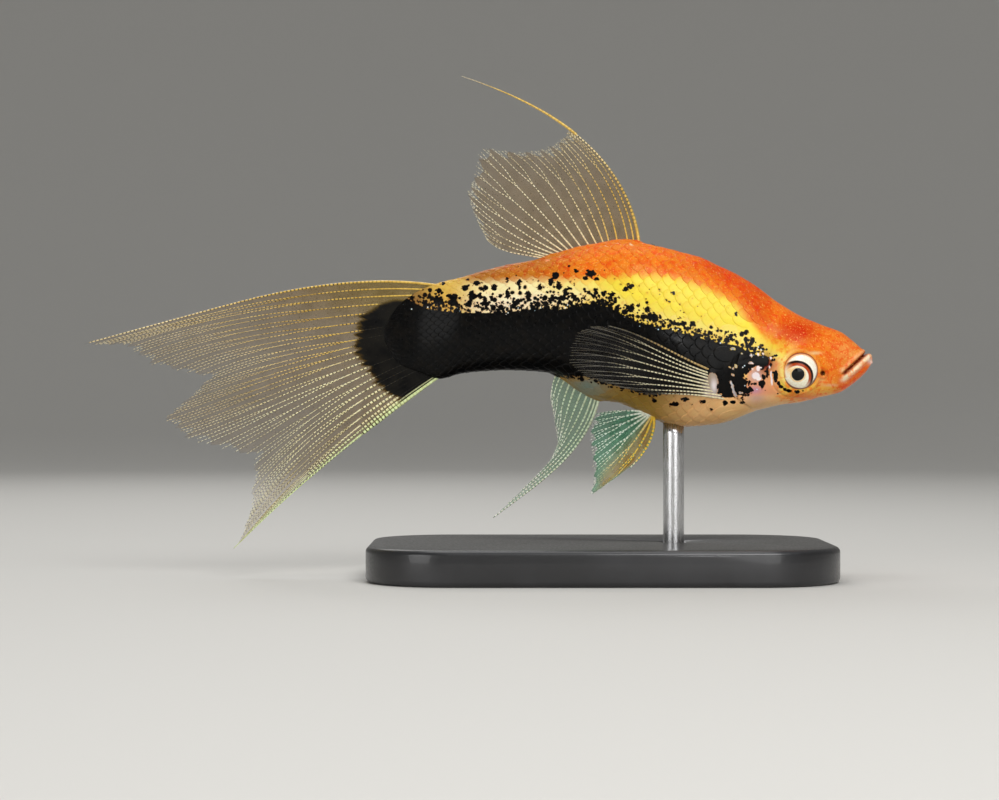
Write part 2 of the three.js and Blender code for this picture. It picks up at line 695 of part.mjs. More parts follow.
const BODY_COLOURS = { head: COLOURS.head, lower_jaw: COLOURS.jaw, trunk: COLOURS.trunk,
  tail_stalk: COLOURS.stalk, gill_cover_right: COLOURS.cover, gill_cover_left: COLOURS.cover };
for (const [name, piece] of Object.entries(bodyPieces())) {
  addPiece(name, geometryOf(piece), BODY_COLOURS[name]);
}
for (const [name, side] of [['eye_right', -1], ['eye_left', 1]]) {
  addPiece(name, geometryOf(solid(eyeball(side, 0))), COLOURS.eye, 0.1);
}
for (const [name, piece] of Object.entries(finPieces())) {
  const isTail = name.startsWith('caudal');
  const isPectoral = name.startsWith('pectoral');
  const color = isTail ? COLOURS.tail : isPectoral ? COLOURS.pectoral : COLOURS.fin;
  addPiece(name, geometryOf(piece), color, 0.4);
}
addPiece('stand_base', geometryOf(basePlate()), COLOURS.base, 0.3);
addPiece('stand_rod', geometryOf(rod()), COLOURS.rod, 0.25, 1);

export default group;
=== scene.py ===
"""A female lyretail swordtail, life size, held over a plain display stand by one rod.

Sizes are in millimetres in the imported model's own frame: +X is the snout's side, +Z is up,
the plane y = 0 splits the fish, and its right flank faces -Y.
"""

import functools
import math

import bpy
import numpy as np
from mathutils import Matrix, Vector


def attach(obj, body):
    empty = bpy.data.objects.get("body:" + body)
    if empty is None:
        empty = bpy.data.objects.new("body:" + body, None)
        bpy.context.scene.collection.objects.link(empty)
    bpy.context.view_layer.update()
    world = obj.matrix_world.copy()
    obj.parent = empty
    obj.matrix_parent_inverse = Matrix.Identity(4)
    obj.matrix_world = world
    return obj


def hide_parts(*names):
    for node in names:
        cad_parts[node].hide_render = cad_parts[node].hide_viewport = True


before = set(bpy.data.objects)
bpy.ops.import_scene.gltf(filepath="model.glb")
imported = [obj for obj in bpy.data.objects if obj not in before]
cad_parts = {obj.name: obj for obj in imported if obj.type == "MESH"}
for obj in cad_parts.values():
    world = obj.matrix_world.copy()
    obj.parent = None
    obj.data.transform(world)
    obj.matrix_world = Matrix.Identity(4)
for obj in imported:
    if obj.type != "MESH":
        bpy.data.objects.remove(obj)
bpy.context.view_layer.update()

bl_info = {
    "name": "Lyretail Swordtail",
    "version": (1, 0, 0),
    "blender": (4, 5, 0),
    "location": "3D View > Sidebar > Swordtail",
    "description": "A female lyretail swordtail, life size, on a plain display stand",
    "category": "Object",
}

MM = 0.001

# The body from snout to tail root: x, back, belly, half width, height share of the widest line
BODY = [
    (38.7, 31.3, 30.4, 1.2, 0.5), (37.9, 32.1, 29.3, 2.2, 0.5), (36.9, 33.0, 28.3, 2.8, 0.5),
    (35.7, 34.0, 27.3, 3.25, 0.48), (34.3, 35.0, 26.4, 3.65, 0.46),
    (31.4, 36.1, 25.7, 4.3, 0.45), (28.6, 37.3, 25.0, 4.9, 0.45),
    (25.7, 39.0, 24.7, 5.3, 0.45), (22.9, 41.0, 24.0, 5.6, 0.44),
    (20.0, 42.9, 22.9, 5.9, 0.43), (17.1, 44.3, 22.0, 6.15, 0.42),
    (14.3, 45.6, 21.7, 6.35, 0.41), (11.4, 46.4, 21.6, 6.4, 0.41), (8.6, 47.1, 22.3, 6.3, 0.42),
    (5.7, 47.7, 23.7, 6.0, 0.43), (2.9, 47.9, 24.9, 5.6, 0.44), (0, 47.4, 25.4, 5.2, 0.45),
    (-2.9, 46.9, 26.9, 4.75, 0.46), (-5.7, 46.1, 28.8, 4.3, 0.47), (-8.6, 45.4, 29.4, 3.9, 0.48),
    (-14.3, 44.3, 29.6, 3.25, 0.5), (-20.0, 42.7, 29.1, 2.6, 0.5), (-22.9, 42.0, 28.4, 2.25, 0.5),
    (-25.7, 40.9, 29.3, 1.85, 0.5), (-28.6, 38.9, 30.5, 1.35, 0.5),
    (-30.0, 37.0, 32.2, 1.05, 0.5), (-30.7, 35.4, 33.8, 0.85, 0.5),
]
NOSE_X, TAIL_X = BODY[0][0], BODY[-1][0]
SNOUT_START = 22
BACK_SQUARENESS = (2.0, 2.7)  # superellipse powers on the trunk and at the snout
BELLY_SQUARENESS = (2.25, 2.3)
RING_STEPS = [(19, 0.1), (TAIL_X, 0.2)]  # down to x, one ring each step
RING_POINTS = 384
FINE_POINTS = 1441  # for measuring a ring
FLANK_POINTS = 2001  # for measuring half a ring
CAP_SHARES = (0.35, 0.6, 0.8, 0.93, 0.99)  # rings that round off the snout and the tail root
NOSE_CAP, TAIL_CAP = 0.25, -0.15
TAIL_BLADE = (-19, 0.86)  # from this x on, the stalk thins by this share into the tail fin

# Head features in side view: x, z
GILL_EDGE = [(21.6, 52), (21.0, 40), (20.7, 36), (20.0, 32.6), (19.0, 29.9), (18.8, 27.7),
             (19.6, 25.6), (21.4, 24.2), (24.6, 22.6), (30, 16)]
CHEEK_LINE = [(24.9, 33.6), (24.4, 31.5), (24.3, 29.0), (25.0, 26.9), (26.8, 25.7), (29.5, 25.4)]
MOUTH_CORNER, MOUTH_FRONT = (34.75, 28.96), (38.3, 32.23)
EYE = (28.65, 29.45)
EYE_RADIUS = 2.7
EYE_FLATNESS = 0.53
EYE_SUNK = 0.58
EYE_GRID = (110, 180)  # rings, points on each
EYE_TILT = math.radians(125)  # how far its rings go round towards the hidden back
PUPIL = (-0.55, -0.4)  # from the eye's middle
LENS_BULGE, LENS_WIDTH = 0.08, 0.8  # over the pupil
IRIS = (-0.7, -0.92)
NOSTRIL = (31.8, 29.1)
PECTORAL_ROOT = (15.55, 27.5)
PELVIC_ROOT = (7.0, 23.0)

# Markings in side view: x, z
YELLOW_TOP = [(-31, 42.2), (-14, 42.4), (-8.6, 42.6), (-4.2, 42.5), (0, 42.7), (5.4, 43.1),
              (10.6, 42.8), (13, 42.1), (16.3, 40.9), (20, 38.8), (21.2, 37.0), (22.3, 35.6),
              (24, 33.8), (26.4, 32.7), (28, 28)]
DARK_TOP = [(-36, 36.6), (-33.3, 37.5), (-31.4, 38.8), (-29.4, 39.4), (-25.7, 39.2),
            (-20.4, 38.5), (-14.3, 38.5), (-8.6, 39.1), (-5.7, 39.0), (-1, 39.8), (1.5, 39.2),
            (2.9, 38.4), (5.7, 37.1), (8.6, 36.2), (11.4, 35.7), (14.3, 34.9), (17.1, 34.2),
            (19.3, 33.9), (20.7, 33.2), (22.3, 32.5), (24, 32.1), (26, 30)]
DARK_LOW = [(-36, 18), (-7.4, 18), (-6.3, 28.5), (-2.3, 28.3), (0, 27.9), (2.9, 26.9),
            (7.3, 25.9), (10.6, 26.5), (14.4, 26.5), (16.5, 25.9), (20, 25.6), (22, 26.2),
            (26, 27)]
DARK_FRONT, DARK_FRONT_HIGH = 21.3, 2.7  # and how much further forward it lies above z 30
DARK_REAR, DARK_REAR_Z, DARK_REAR_CURVE = -34.8, 34, 0.08
DARK_STALK_RAISE = 1.5  # how much higher it ends on the stalk's end
DARK_FRINGE = (0.84, 2.4, 0.4)  # density at the edge, and its fade upwards and elsewhere
# Black spots: x, z, radius along, radius up
BLACK_SPOTS = [
    (4.3, 41.5, 0.55, 0.35), (3.6, 41.1, 0.35, 0.3), (-1.3, 43.4, 0.7, 0.45),
    (-2.1, 42.7, 0.4, 0.3), (-0.6, 42.6, 0.35, 0.3), (-6.4, 43.0, 0.45, 0.4),
    (-7.0, 42.2, 0.4, 0.5), (-5.9, 41.6, 0.4, 0.5), (-3.4, 43.7, 0.3, 0.3),
    (-8.6, 41.4, 0.4, 0.4), (-11.6, 42.0, 0.4, 0.35), (-15.1, 41.4, 0.45, 0.45),
    (-16.4, 41.3, 0.4, 0.4), (-17.6, 42.0, 0.5, 0.3), (-19.3, 41.3, 0.5, 0.4),
    (-23.0, 40.9, 0.35, 0.3), (-18.3, 40.2, 0.5, 0.6), (-13.2, 40.4, 0.4, 0.6),
    (-10.2, 40.3, 0.4, 0.6), (-20.8, 40.0, 0.5, 0.5), (10.4, 40.6, 0.45, 0.2),
    (7.5, 37.2, 0.7, 0.5), (6.8, 38.3, 0.4, 0.4), (11.4, 37.0, 0.3, 0.3),
    (19.5, 37.6, 0.22, 0.35), (21.8, 33.8, 0.3, 0.45), (10.6, 24.7, 0.7, 0.35),
    (13.2, 24.6, 0.2, 0.2), (14.6, 25.0, 0.4, 0.25), (7.7, 25.2, 0.35, 0.25),
    (17.8, 24.9, 0.4, 0.35), (19.0, 25.0, 0.4, 0.25), (15.9, 23.9, 0.2, 0.25),
    (12.2, 25.4, 0.5, 0.3), (20.3, 24.9, 0.3, 0.2), (23.15, 27.66, 0.46, 0.4),
    (22.15, 27.6, 0.24, 0.22), (23.4, 28.5, 0.24, 0.3), (23.35, 30.5, 0.6, 0.4),
    (23.6, 31.3, 0.35, 0.3), (23.9, 29.2, 0.18, 0.75), (25.1, 28.7, 0.31, 0.75),
    (25.5, 27.7, 0.24, 0.3), (25.85, 27.2, 0.3, 0.22), (26.4, 26.85, 0.22, 0.18),
    (26.95, 26.6, 0.32, 0.22), (28.2, 26.45, 0.32, 0.25), (29.0, 26.6, 0.12, 0.1),
    (25.05, 31.6, 0.32, 0.18), (24.9, 31.0, 0.14, 0.22), (21.7, 33.5, 0.17, 0.4),
    (22.25, 33.5, 0.08, 0.13), (22.9, 33.2, 0.12, 0.12), (22.5, 31.0, 0.3, 0.5),
    (24.4, 30.3, 0.18, 0.3), (22.6, 32.2, 0.2, 0.14), (24.2, 31.9, 0.1, 0.12),
    (25.4, 26.2, 0.14, 0.1),
]
# Pale spots inside the dark zone: x, z, radius along, radius up
PALE_SPOTS = [
    (22.6, 29.8, 0.2, 0.28), (22.25, 28.75, 0.38, 0.34), (22.65, 28.35, 0.25, 0.2),
    (24.45, 28.9, 0.08, 0.4), (24.55, 28.0, 0.09, 0.45), (21.57, 31.65, 0.17, 0.17),
    (21.57, 30.55, 0.28, 0.1), (21.8, 29.7, 0.08, 0.1), (19.0, 32.6, 0.22, 0.14),
    (19.0, 29.8, 0.09, 0.17), (18.95, 28.9, 0.1, 0.11), (18.5, 30.0, 0.06, 0.08),
    (19.4, 30.1, 0.07, 0.14), (20.1, 26.3, 0.25, 0.08), (20.3, 31.9, 0.1, 0.08),
    (22.6, 31.8, 0.12, 0.14), (23.0, 29.9, 0.12, 0.12), (24.4, 31.3, 0.14, 0.12),
    (23.3, 31.9, 0.1, 0.1), (24.2, 30.0, 0.08, 0.16),
]
# The dorsal fin's root, where a row of small painted glints stands: x, z
DORSAL_ROOT = [(-8.2, 45.5), (-2.9, 46.9), (2.9, 47.9), (5.7, 47.7)]
# Strewn black spots: count, span of x, radii, mean and least height over the dark zone's
# edge, and how tall a spot is for its length
STREWN_SPOTS = [(45, (-25, 2), (0.24, 0.36), (1.0, 0.4), (0.9, 1.4)),
                (30, (1, 23), (0.22, 0.32), (0.6, 0.3), (0.7, 1.3))]

# Scales
SCALE_COLUMNS = (24.3, -30.2)  # x of the first column and the end of the last
SCALE_ROWS = 26
SCALE_HALF_LENGTH = 1.7
SCALE_HALF_WIDTH = 0.56  # in rows of scales
SCALE_RISE = 0.1
SCALE_RINGS = (0.22, 0.44, 0.64, 0.82, 0.94, 1.0)
SCALE_SIDES = 22

# Guide rays in side view: root x, root z, length, then the heading in degrees at the root,
# half way and at the tip, where 0 is +X and 90 is up.
DORSAL_STREAMER = (5.57, 47.5, 37.2, 95, 140, 161)
DORSAL_STREAMER_FREE = 0.53  # the share of it that the fin's sheet reaches up to
DORSAL_RAYS = [
    (4.3, 47.6, 18.9, 97, 120, 142), (1.7, 47.4, 17.0, 98, 118, 134),
    (0.4, 47.2, 16.8, 114, 119, 144), (-1.4, 46.9, 17.6, 124, 124, 145),
    (-3.4, 46.5, 20.4, 130, 132, 135), (-4.6, 46.2, 17.2, 142, 143, 140),
    (-5.5, 46.0, 16.3, 160, 146, 138), (-6.7, 45.7, 12.6, 166, 156, 132),
    (-7.7, 45.4, 9.3, 163, 168, 130),
]
CAUDAL_ROOT_X = -22.9
CAUDAL_RAYS = [(CAUDAL_ROOT_X, *row) for row in [
    (41.6, 51.8, 171, 193, 194), (40.0, 45.4, 181, 188, 201), (38.4, 42.0, 191, 188, 205),
    (36.7, 33.7, 199, 190, 206), (35.0, 41.2, 192, 198, 200), (33.5, 38.8, 194, 203, 199),
    (32.1, 30.6, 194, 212, 216), (30.8, 35.4, 205, 217, 240), (29.7, 38.3, 211, 221, 231),
    (28.7, 38.7, 215, 220, 225)]]
ANAL_RAYS = [
    (-0.1, 25.9, 23.9, 260, 224, 218), (-0.9, 26.3, 19.0, 259, 230, 217),
    (-2.0, 26.9, 12.4, 246, 246, 229), (-3.6, 28.0, 9.8, 244, 258, 257),
    (-4.9, 28.8, 5.8, 238, 252, 265), (-6.1, 29.3, 4.0, 244, 256, 267),
]
PELVIC_RAYS = [
    (7.6, 22.7, 8.3, 274, 240, 224), (7.3, 22.7, 14.4, 251, 229, 217),
    (7.0, 22.8, 12.0, 232, 228, 218), (6.7, 23.0, 10.1, 218, 218, 218),
    (6.4, 23.2, 9.0, 207, 207, 207), (6.1, 23.4, 7.9, 190, 195, 199),
    (5.9, 23.7, 6.7, 176, 183, 193),
]
PECTORAL_RAYS = [
    (16.15, 29.2, 17.2, 162, 154, 170), (16.05, 28.7, 19.5, 167, 155, 171),
    (15.85, 28.3, 20.9, 165, 160, 173), (15.65, 27.8, 21.1, 169, 164, 182),
    (15.45, 27.3, 20.4, 169, 170, 185), (15.25, 26.8, 18.0, 172, 174, 180),
    (15.05, 26.3, 13.8, 172, 178, 171), (14.85, 25.8, 8.9, 172, 179, 184),
]
PECTORAL_SPREAD = math.tan(math.radians(27))
LEFT_PECTORAL = {"turn": -68, "curl": 34, "size": 1.12}
LEFT_PECTORAL_SPREAD = math.tan(math.radians(22))
PELVIC_OFFSET = 1.5
PELVIC_SPREAD = math.tan(math.radians(17))
LEFT_PELVIC = {"turn": 12, "curl": 0, "size": 0.72}
LEFT_PELVIC_SPREAD = math.tan(math.radians(36))
RAY_STEP = 0.14
RAY_SHORTFALL = 0.025  # at most, as a share of its length
RAY_TIP = 0.4  # thickness of the last ring
BRANCH_STEPS = (0.21, 0.11)  # to the side at the first and second split, in gaps between rays
BRANCH_SWING = 0.22  # share of the way out that a branch takes to step aside
BRANCH_THICKNESS = (0.78, 0.6)
RAY_SIDES = 6
RAY_TAPER = 0.42  # radius at the tip for one at the root
JOINT_LENGTH = 0.56
JOINT_DIP, JOINT_WIDTH = 0.2, 0.13  # how much thinner, and over which share of its length
STREAMER_RINGS = 150
STREAMER_GIRTH, STREAMER_TAPER = 1.55, 0.72  # thickness at its start, and share lost by its tip
STREAMER_REACH = 0.12  # keeps its joints faint
BETWEEN_RAYS = 6  # columns of a sheet from ray to ray
MEMBRANE_HALF = 0.035
EDGE_INSET = 0.15
EDGE_UNEVENNESS = (0.6, 1.5)
SHEET_SWAY = 0.07

# Stand
BASE = {"length": 66, "width": 42, "height": 5, "corner": 12}
BASE_FILLET = 0.8
BASE_SIDES = 96
ROD_X, ROD_RADIUS = 10.5, 1.5
ROD_SIDES, ROD_RINGS = 64, 12
ROD_FOOT_GAP, ROD_SUNK = 0.02, 0.05  # over the socket's floor, and into the belly
SOCKET_DEPTH, SOCKET_GAP, SOCKET_BEVEL = 3, 0.3, 0.35

# The camera's frame: 999 x 800 picture elements, seven to a millimetre at the fish's plane
PICTURE_WIDTH_MM = 999 / 7
CAMERA_X, CAMERA_Z = -14.36, 25.29
SENSOR_MM, LENS_MM = 36, 90
CAMERA_DISTANCE = PICTURE_WIDTH_MM * LENS_MM / SENSOR_MM

# Stage
BACKDROP_SIDES = 72
ROOM_COLOUR, ROOM_STRENGTH = (0.95, 0.97, 1.0, 1), 0.3
# Lights: name, place, target, width, power as a share of the key light's
LIGHTS = [
    ("key_light", (130, -330, 330), (0, 0, 34), 240, 1),
    ("fill_light", (-330, -350, 90), (-15, 0, 32), 280, 0.5),
    ("top_light", (-20, 40, 430), (-10, 0, 30), 320, 0.5),
    ("rear_light", (-120, 330, 360), (-30, 0, 35), 300, 0.5),
    ("low_light", (150, -380, 60), (12, 0, 28), 180, 0.2),
    ("catch_light", (70, -470, 110), (28, 0, 30), 26, 0.08),
]


# Arithmetic


def grow(low, high, value):
    """0 up to the low value and 1 from the high one, with a smooth step between them."""
    share = np.clip((value - low) / (high - low), 0, 1)
    return share * share * (3 - 2 * share)


def fade(low, high, value):
    return 1 - grow(low, high, value)


def window(start, full, fading, gone, value):
    """Smooth steps up between the first two values and down between the last two."""
    return grow(start, full, value) * fade(fading, gone, value)


def hill(distance, width):
    return np.exp(-((distance / width) ** 2))


def apart(x, z, x0, z0, along=1, up=1):
    """Distance from a place in side view, in shares of a half length and a half height."""
    return np.hypot((x - x0) / along, (z - z0) / up)


def around(count, shift=0):
    """Evenly spaced angles of a ring's points."""
    return 2 * math.pi * (np.arange(count) + shift) / count


def rounded(value, power):
    return np.sign(value) * np.abs(value) ** (2 / power)


def level(points, x):
    """Height of a line in side view at each x."""
    along, up = np.array(sorted(points)).T
    return np.interp(x, along, up)


def tint(colour):
    """Linear colour of a hex code; any other colour stays as it is."""
    if not isinstance(colour, str):
        return np.asarray(colour)
    parts = [int(colour[i:i + 2], 16) / 255 for i in (0, 2, 4)]
    return np.array([p / 12.92 if p <= 0.04045 else ((p + 0.055) / 1.055) ** 2.4 for p in parts])


def spread(colour, like):
    """The colour at each place of an array."""
    return np.tile(tint(colour), (*like.shape, 1))


def painted(base, *layers):
    """Colours laid over others one by one, each with its cover at each point."""
    result = tint(base)
    for colour, cover in layers:
        result = result + (tint(colour) - result) * np.clip(cover, 0, 1)[..., None]
    return result


def in_picture(points):
    """Side view places as the camera shows them, where the head and the marks are set out."""
    x, y, z = np.moveaxis(points, -1, 0)
    grown = CAMERA_DISTANCE / (CAMERA_DISTANCE - np.abs(y))
    return CAMERA_X + (x - CAMERA_X) * grown, CAMERA_Z + (z - CAMERA_Z) * grown


def unit(vectors):
    return vectors / np.maximum(np.linalg.norm(vectors, axis=-1, keepdims=True), 1e-9)


def table_at(rows, x):
    """Columns of a table at each x, on smooth curves through its rows."""
    rows, x = np.array(rows, float), np.asarray(x, float)
    last = len(rows) - 1
    i = np.clip(np.searchsorted(-rows[:, 0], -x), 1, last)
    p, q = rows[i - 1], rows[i]
    before, after = rows[np.maximum(i - 2, 0)], rows[np.minimum(i + 1, last)]
    span = (q - p)[..., :1]
    t = (x[..., None] - p[..., :1]) / span
    start = (q - before) / (q - before)[..., :1]
    end = (after - p) / (after - p)[..., :1]
    return (p * (1 + 2 * t) * (1 - t) ** 2 + q * t * t * (3 - 2 * t)
            + span * (start * t * (1 - t) ** 2 - end * t * t * (1 - t)))


def smooth_line(points, count):
    """The line resampled on a smooth curve through its points."""
    points = np.array(points, float)
    padded = np.vstack([2 * points[0] - points[1], points, 2 * points[-1] - points[-2]])
    place = np.linspace(0, len(points) - 1, count)
    i = np.minimum(place.astype(int), len(points) - 2)
    t = (place - i)[:, None]
    a, b, c, d = (padded[i + k] for k in range(4))
    return 0.5 * (2 * b + (c - a) * t + (2 * a - 5 * b + 4 * c - d) * t * t
                  + (3 * b - a - 3 * c + d) * t ** 3)


def line_distance(x, z, line):
    """Distance to a line in side view, above 0 on its left."""
    best, side = np.full(x.shape, 1e9), np.ones(x.shape)
    for (x0, z0), (x1, z1) in zip(line[:-1], line[1:]):
        dx, dz = x1 - x0, z1 - z0
        share = np.clip(((x - x0) * dx + (z - z0) * dz) / (dx * dx + dz * dz), 0, 1)
        off_x, off_z = x - x0 - share * dx, z - z0 - share * dz
        distance = np.hypot(off_x, off_z)
        nearer = distance < best
        best = np.where(nearer, distance, best)
        side = np.where(nearer, np.sign(dx * off_z - dz * off_x), side)
    return best * side


# Meshes


def grid_faces(rows, columns, closed=False):
    """Faces of a grid of points, row by row, with the last column joined to the first or not."""
    columns_used = columns if closed else columns - 1
    r, c = np.meshgrid(np.arange(rows - 1), np.arange(columns_used), indexing="ij")
    a, b = r * columns + c, r * columns + (c + 1) % columns
    return np.stack([a, b, b + columns, a + columns], -1).reshape(-1, 4)


def capped(rings, first, last=None):
    """Points and faces of closed rings, with a fan to a middle at the first and last ring."""
    rings = np.asarray(rings)
    count, per = rings.shape[:2]
    side = np.arange(per)
    after, end = (side + 1) % per, (count - 1) * per
    middles, fans = [first], [np.stack([after, side, np.full(per, count * per)], 1)]
    if last is not None:
        middles.append(last)
        fans.append(np.stack([end + side, end + after, np.full(per, count * per + 1)], 1))
    points = np.vstack([rings.reshape(-1, 3), middles])
    return points, [grid_faces(count, per, True), np.concatenate(fans)]


def link(made):
    bpy.context.scene.collection.objects.link(made)
    return made


def make_object(name, points, faces, material, uv=None, **fields):
    """A smooth mesh object from points in millimetres, with each field as an attribute."""
    shapes = [np.asarray(f, np.int32) for f in (faces if isinstance(faces, list) else [faces])]
    corners = np.concatenate([f.ravel() for f in shapes])
    sizes = np.concatenate([np.full(len(f), f.shape[1]) for f in shapes])
    starts = np.cumsum(sizes) - sizes
    mesh = bpy.data.meshes.new(name)
    mesh.vertices.add(len(points))
    mesh.vertices.foreach_set("co", (np.asarray(points) * MM).astype(np.float32).ravel())
    mesh.loops.add(len(corners))
    mesh.loops.foreach_set("vertex_index", corners)
    mesh.polygons.add(len(sizes))
    mesh.polygons.foreach_set("loop_start", starts.astype(np.int32))
    if uv is not None:
        places = np.asarray(uv, np.float32)[corners]
        first = np.repeat(starts, sizes)
        places[:, 1] += places[first, 1] - places[:, 1] > 0.5  # a face across the seam
        places[:, 1] -= places[:, 1] - places[first, 1] > 0.5
        mesh.uv_layers.new(name="OFBake", do_init=False)
        mesh.uv_layers["OFBake"].uv.foreach_set("vector", places.ravel())
    for field, values in fields.items():
        values = np.asarray(values, np.float32)
        colour = values.ndim == 2
        if colour:
            values = np.hstack([values, np.ones((len(values), 1), np.float32)])
        made = mesh.attributes.new(field, "FLOAT_COLOR" if colour else "FLOAT", "POINT")
        made.data.foreach_set("color" if colour else "value", values.ravel())
    mesh.update(calc_edges=True)
    mesh.polygons.foreach_set("use_smooth", np.ones(len(sizes), bool))
    mesh.materials.append(material)
    return link(bpy.data.objects.new(name, mesh))


class Heap:
    """Pieces of one mesh that are made one after another."""

    def __init__(self):
        self.points, self.faces, self.fields, self.count = [], [], {}, 0

    def add(self, points, faces, **fields):
        self.points.append(points)
        self.faces.append(faces + self.count)
        for field, values in fields.items():
            self.fields.setdefault(field, []).append(values)
        self.count += len(points)

    def make(self, name, material):
        fields = {field: np.concatenate(values) for field, values in self.fields.items()}
        return make_object(name, np.concatenate(self.points), np.concatenate(self.faces),
                           material, **fields)


def finish_piece(piece, slot, *nodes):
    """The piece rides on the fish's only body and stands for its nodes; its slot is not used."""
    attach(piece, "root")
    if nodes:
        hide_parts(*nodes)


# Skin


def section(x, turn):
    """Points of the plain body at each x, and angle from the right flank over the back."""
    x, turn = np.broadcast_arrays(x, turn)
    _, back, belly, half, wide = np.moveaxis(table_at(BODY, x), -1, 0)
    snout = grow(SNOUT_START, NOSE_X, x)
    above = np.sin(turn) > 0
    trunk_power = np.where(above, BACK_SQUARENESS[0], BELLY_SQUARENESS[0])
    snout_power = np.where(above, BACK_SQUARENESS[1], BELLY_SQUARENESS[1])
    power = trunk_power + (snout_power - trunk_power) * snout
    middle = belly + (back - belly) * wide
    height = np.where(above, back - middle, middle - belly)
    return np.stack([x, -half * rounded(np.cos(turn), power),
                     middle + height * rounded(np.sin(turn), power)], -1)


def ring_places():
    places = [NOSE_X]
    for end, step in RING_STEPS:
        start = places[-1]
        count = round((start - end) / step)
        places += [start + (end - start) * i / count for i in range(1, count + 1)]
    return np.array(places)


def plain_rings():
    """Rings of evenly spaced points from the snout to the tail root, from the belly round."""
    turns = np.linspace(-math.pi / 2, 1.5 * math.pi, FINE_POINTS)
    shares = np.arange(RING_POINTS) / RING_POINTS
    places = ring_places()
    fine = section(places[:, None], turns[None])
    lengths = np.linalg.norm(np.diff(fine, axis=1), axis=2).cumsum(1)
    angles = [np.interp(shares * run[-1], np.concatenate([[0], run]), turns) for run in lengths]
    rings = section(places[:, None], np.array(angles))
    x, z = rings[..., 0], rings[..., 2]
    thin = grow(TAIL_BLADE[0], TAIL_X, x)
    rings[..., 1] = rings[..., 1] * (1 - TAIL_BLADE[1] * thin) + caudal_depth(x, z) * thin

    def cap(ring, reach):
        middle = ring.mean(0)
        grown = [middle + (ring - middle) * math.sqrt(1 - s * s) for s in CAP_SHARES]
        return np.stack(grown) + np.array([reach, 0, 0]) * np.array(CAP_SHARES)[:, None, None]

    nose, tail = cap(rings[0], NOSE_CAP), cap(rings[-1], TAIL_CAP)
    return np.concatenate([nose[::-1], rings, tail])


def grid_normals(points):
    along = np.gradient(points, axis=0)
    sideways = np.roll(points, -1, axis=1) - np.roll(points, 1, axis=1)
    return unit(np.cross(sideways, along))


def mouth_place(x, z):
    """Share of the way from the mouth's corner to its front, and height over its line."""
    (x0, z0), (x1, z1) = MOUTH_CORNER, MOUTH_FRONT
    run = math.hypot(x1 - x0, z1 - z0)
    dx, dz = (x1 - x0) / run, (z1 - z0) / run
    return ((x - x0) * dx + (z - z0) * dz) / run, (z - z0) * dx - (x - x0) * dz


def gill_distance(x, z):
    return line_distance(x, z, smooth_line(GILL_EDGE, 40))


def eye_distance(x, z):
    """Distance from the eye's middle, where its opening is a little taller than wide."""
    return apart(x, z, *EYE, 1 / 1.04, 1 / 0.96)


def skin_relief(points):
    """How far the skin stands off the plain body: socket, mouth, gill cover and fin bases."""
    x, z = in_picture(points)
    across = np.abs(points[..., 1])
    rise = 0.02 * np.sin(0.9 * x + 0.4 * z) * np.sin(0.7 * z - 0.5 * x)

    eye = eye_distance(x, z)
    brow = hill(x - 29.0, 2.6) * hill(z - 32.6, 0.7)
    rise += 0.2 * hill(eye - 2.85, 0.4) - 1.25 * fade(2.14, 2.46, eye) + 0.14 * brow
    nostril = apart(x, z, *NOSTRIL)
    rise += 0.1 * hill(nostril - 0.62, 0.22) - 0.6 * hill(nostril, 0.36)

    share, over = mouth_place(x, z)
    lip = over + 0.56 + 0.06 * np.clip(share, 0, 5)
    rise += grow(-0.12, 0.12, share) * (
        0.1 * hill(over - 0.5, 0.3) - 0.75 * hill(over, 0.17) - 0.04 * hill(over - 1.1, 0.4)
        + 0.32 * hill(lip, 0.42) - 0.1 * hill(lip + 0.75, 0.24))

    gill = gill_distance(x, z)
    cover = grow(-0.02, 0.24, gill) * hill(np.maximum(gill, 0), 3.4)
    rise += (0.3 * cover - 0.16 * hill(gill + 0.14, 0.16)) * window(23.4, 25.4, 30.4, 32.4, z)
    cheek = line_distance(x, z, smooth_line(CHEEK_LINE, 24))
    rise -= 0.1 * hill(cheek, 0.18) - 0.06 * hill(cheek - 0.5, 0.5)

    dorsal = window(-8.8, -7.2, 5.2, 6.6, x) * (z > 40)
    anal = window(-7.4, -6.0, -0.4, 0.8, x) * (z < 34)
    throat = window(21, 25, 33, 36, x) * (z < 28)
    rise += 0.45 * hill(lobe_distance(x, z), 1.1)
    rise += 0.3 * hill(across, 0.6) * dorsal + 0.32 * hill(across, 0.55) * anal
    return rise - 0.16 * hill(across, 0.3) * throat


@functools.cache
def skin_grid():
    """Points and normals of the finished skin, ring by ring."""
    plain = plain_rings()
    points = plain + grid_normals(plain) * skin_relief(plain)[..., None]
    return points, grid_normals(points)


def on_skin(ring, share, rise):
    """Points over the skin at a ring number and a share of the way round from the belly."""
    points, normals = skin_grid()
    column = (share % 1) * RING_POINTS
    i = np.clip(ring.astype(int), 0, len(points) - 2)
    j = column.astype(int) % RING_POINTS
    k = (j + 1) % RING_POINTS
    s, t = (ring - i)[..., None], (column - column.astype(int))[..., None]
    place, out = ((g[i, j] * (1 - s) + g[i + 1, j] * s) * (1 - t)
                  + (g[i, k] * (1 - s) + g[i + 1, k] * s) * t for g in (points, normals))
    return place + unit(out) * rise[..., None]


@functools.cache
def plain_depth(x, z):
    """Half width of the plain body at a place in side view."""
    points = section(float(x), np.linspace(-math.pi / 2, math.pi / 2, FLANK_POINTS))
    return float(-np.interp(z, points[:, 2], points[:, 1]))


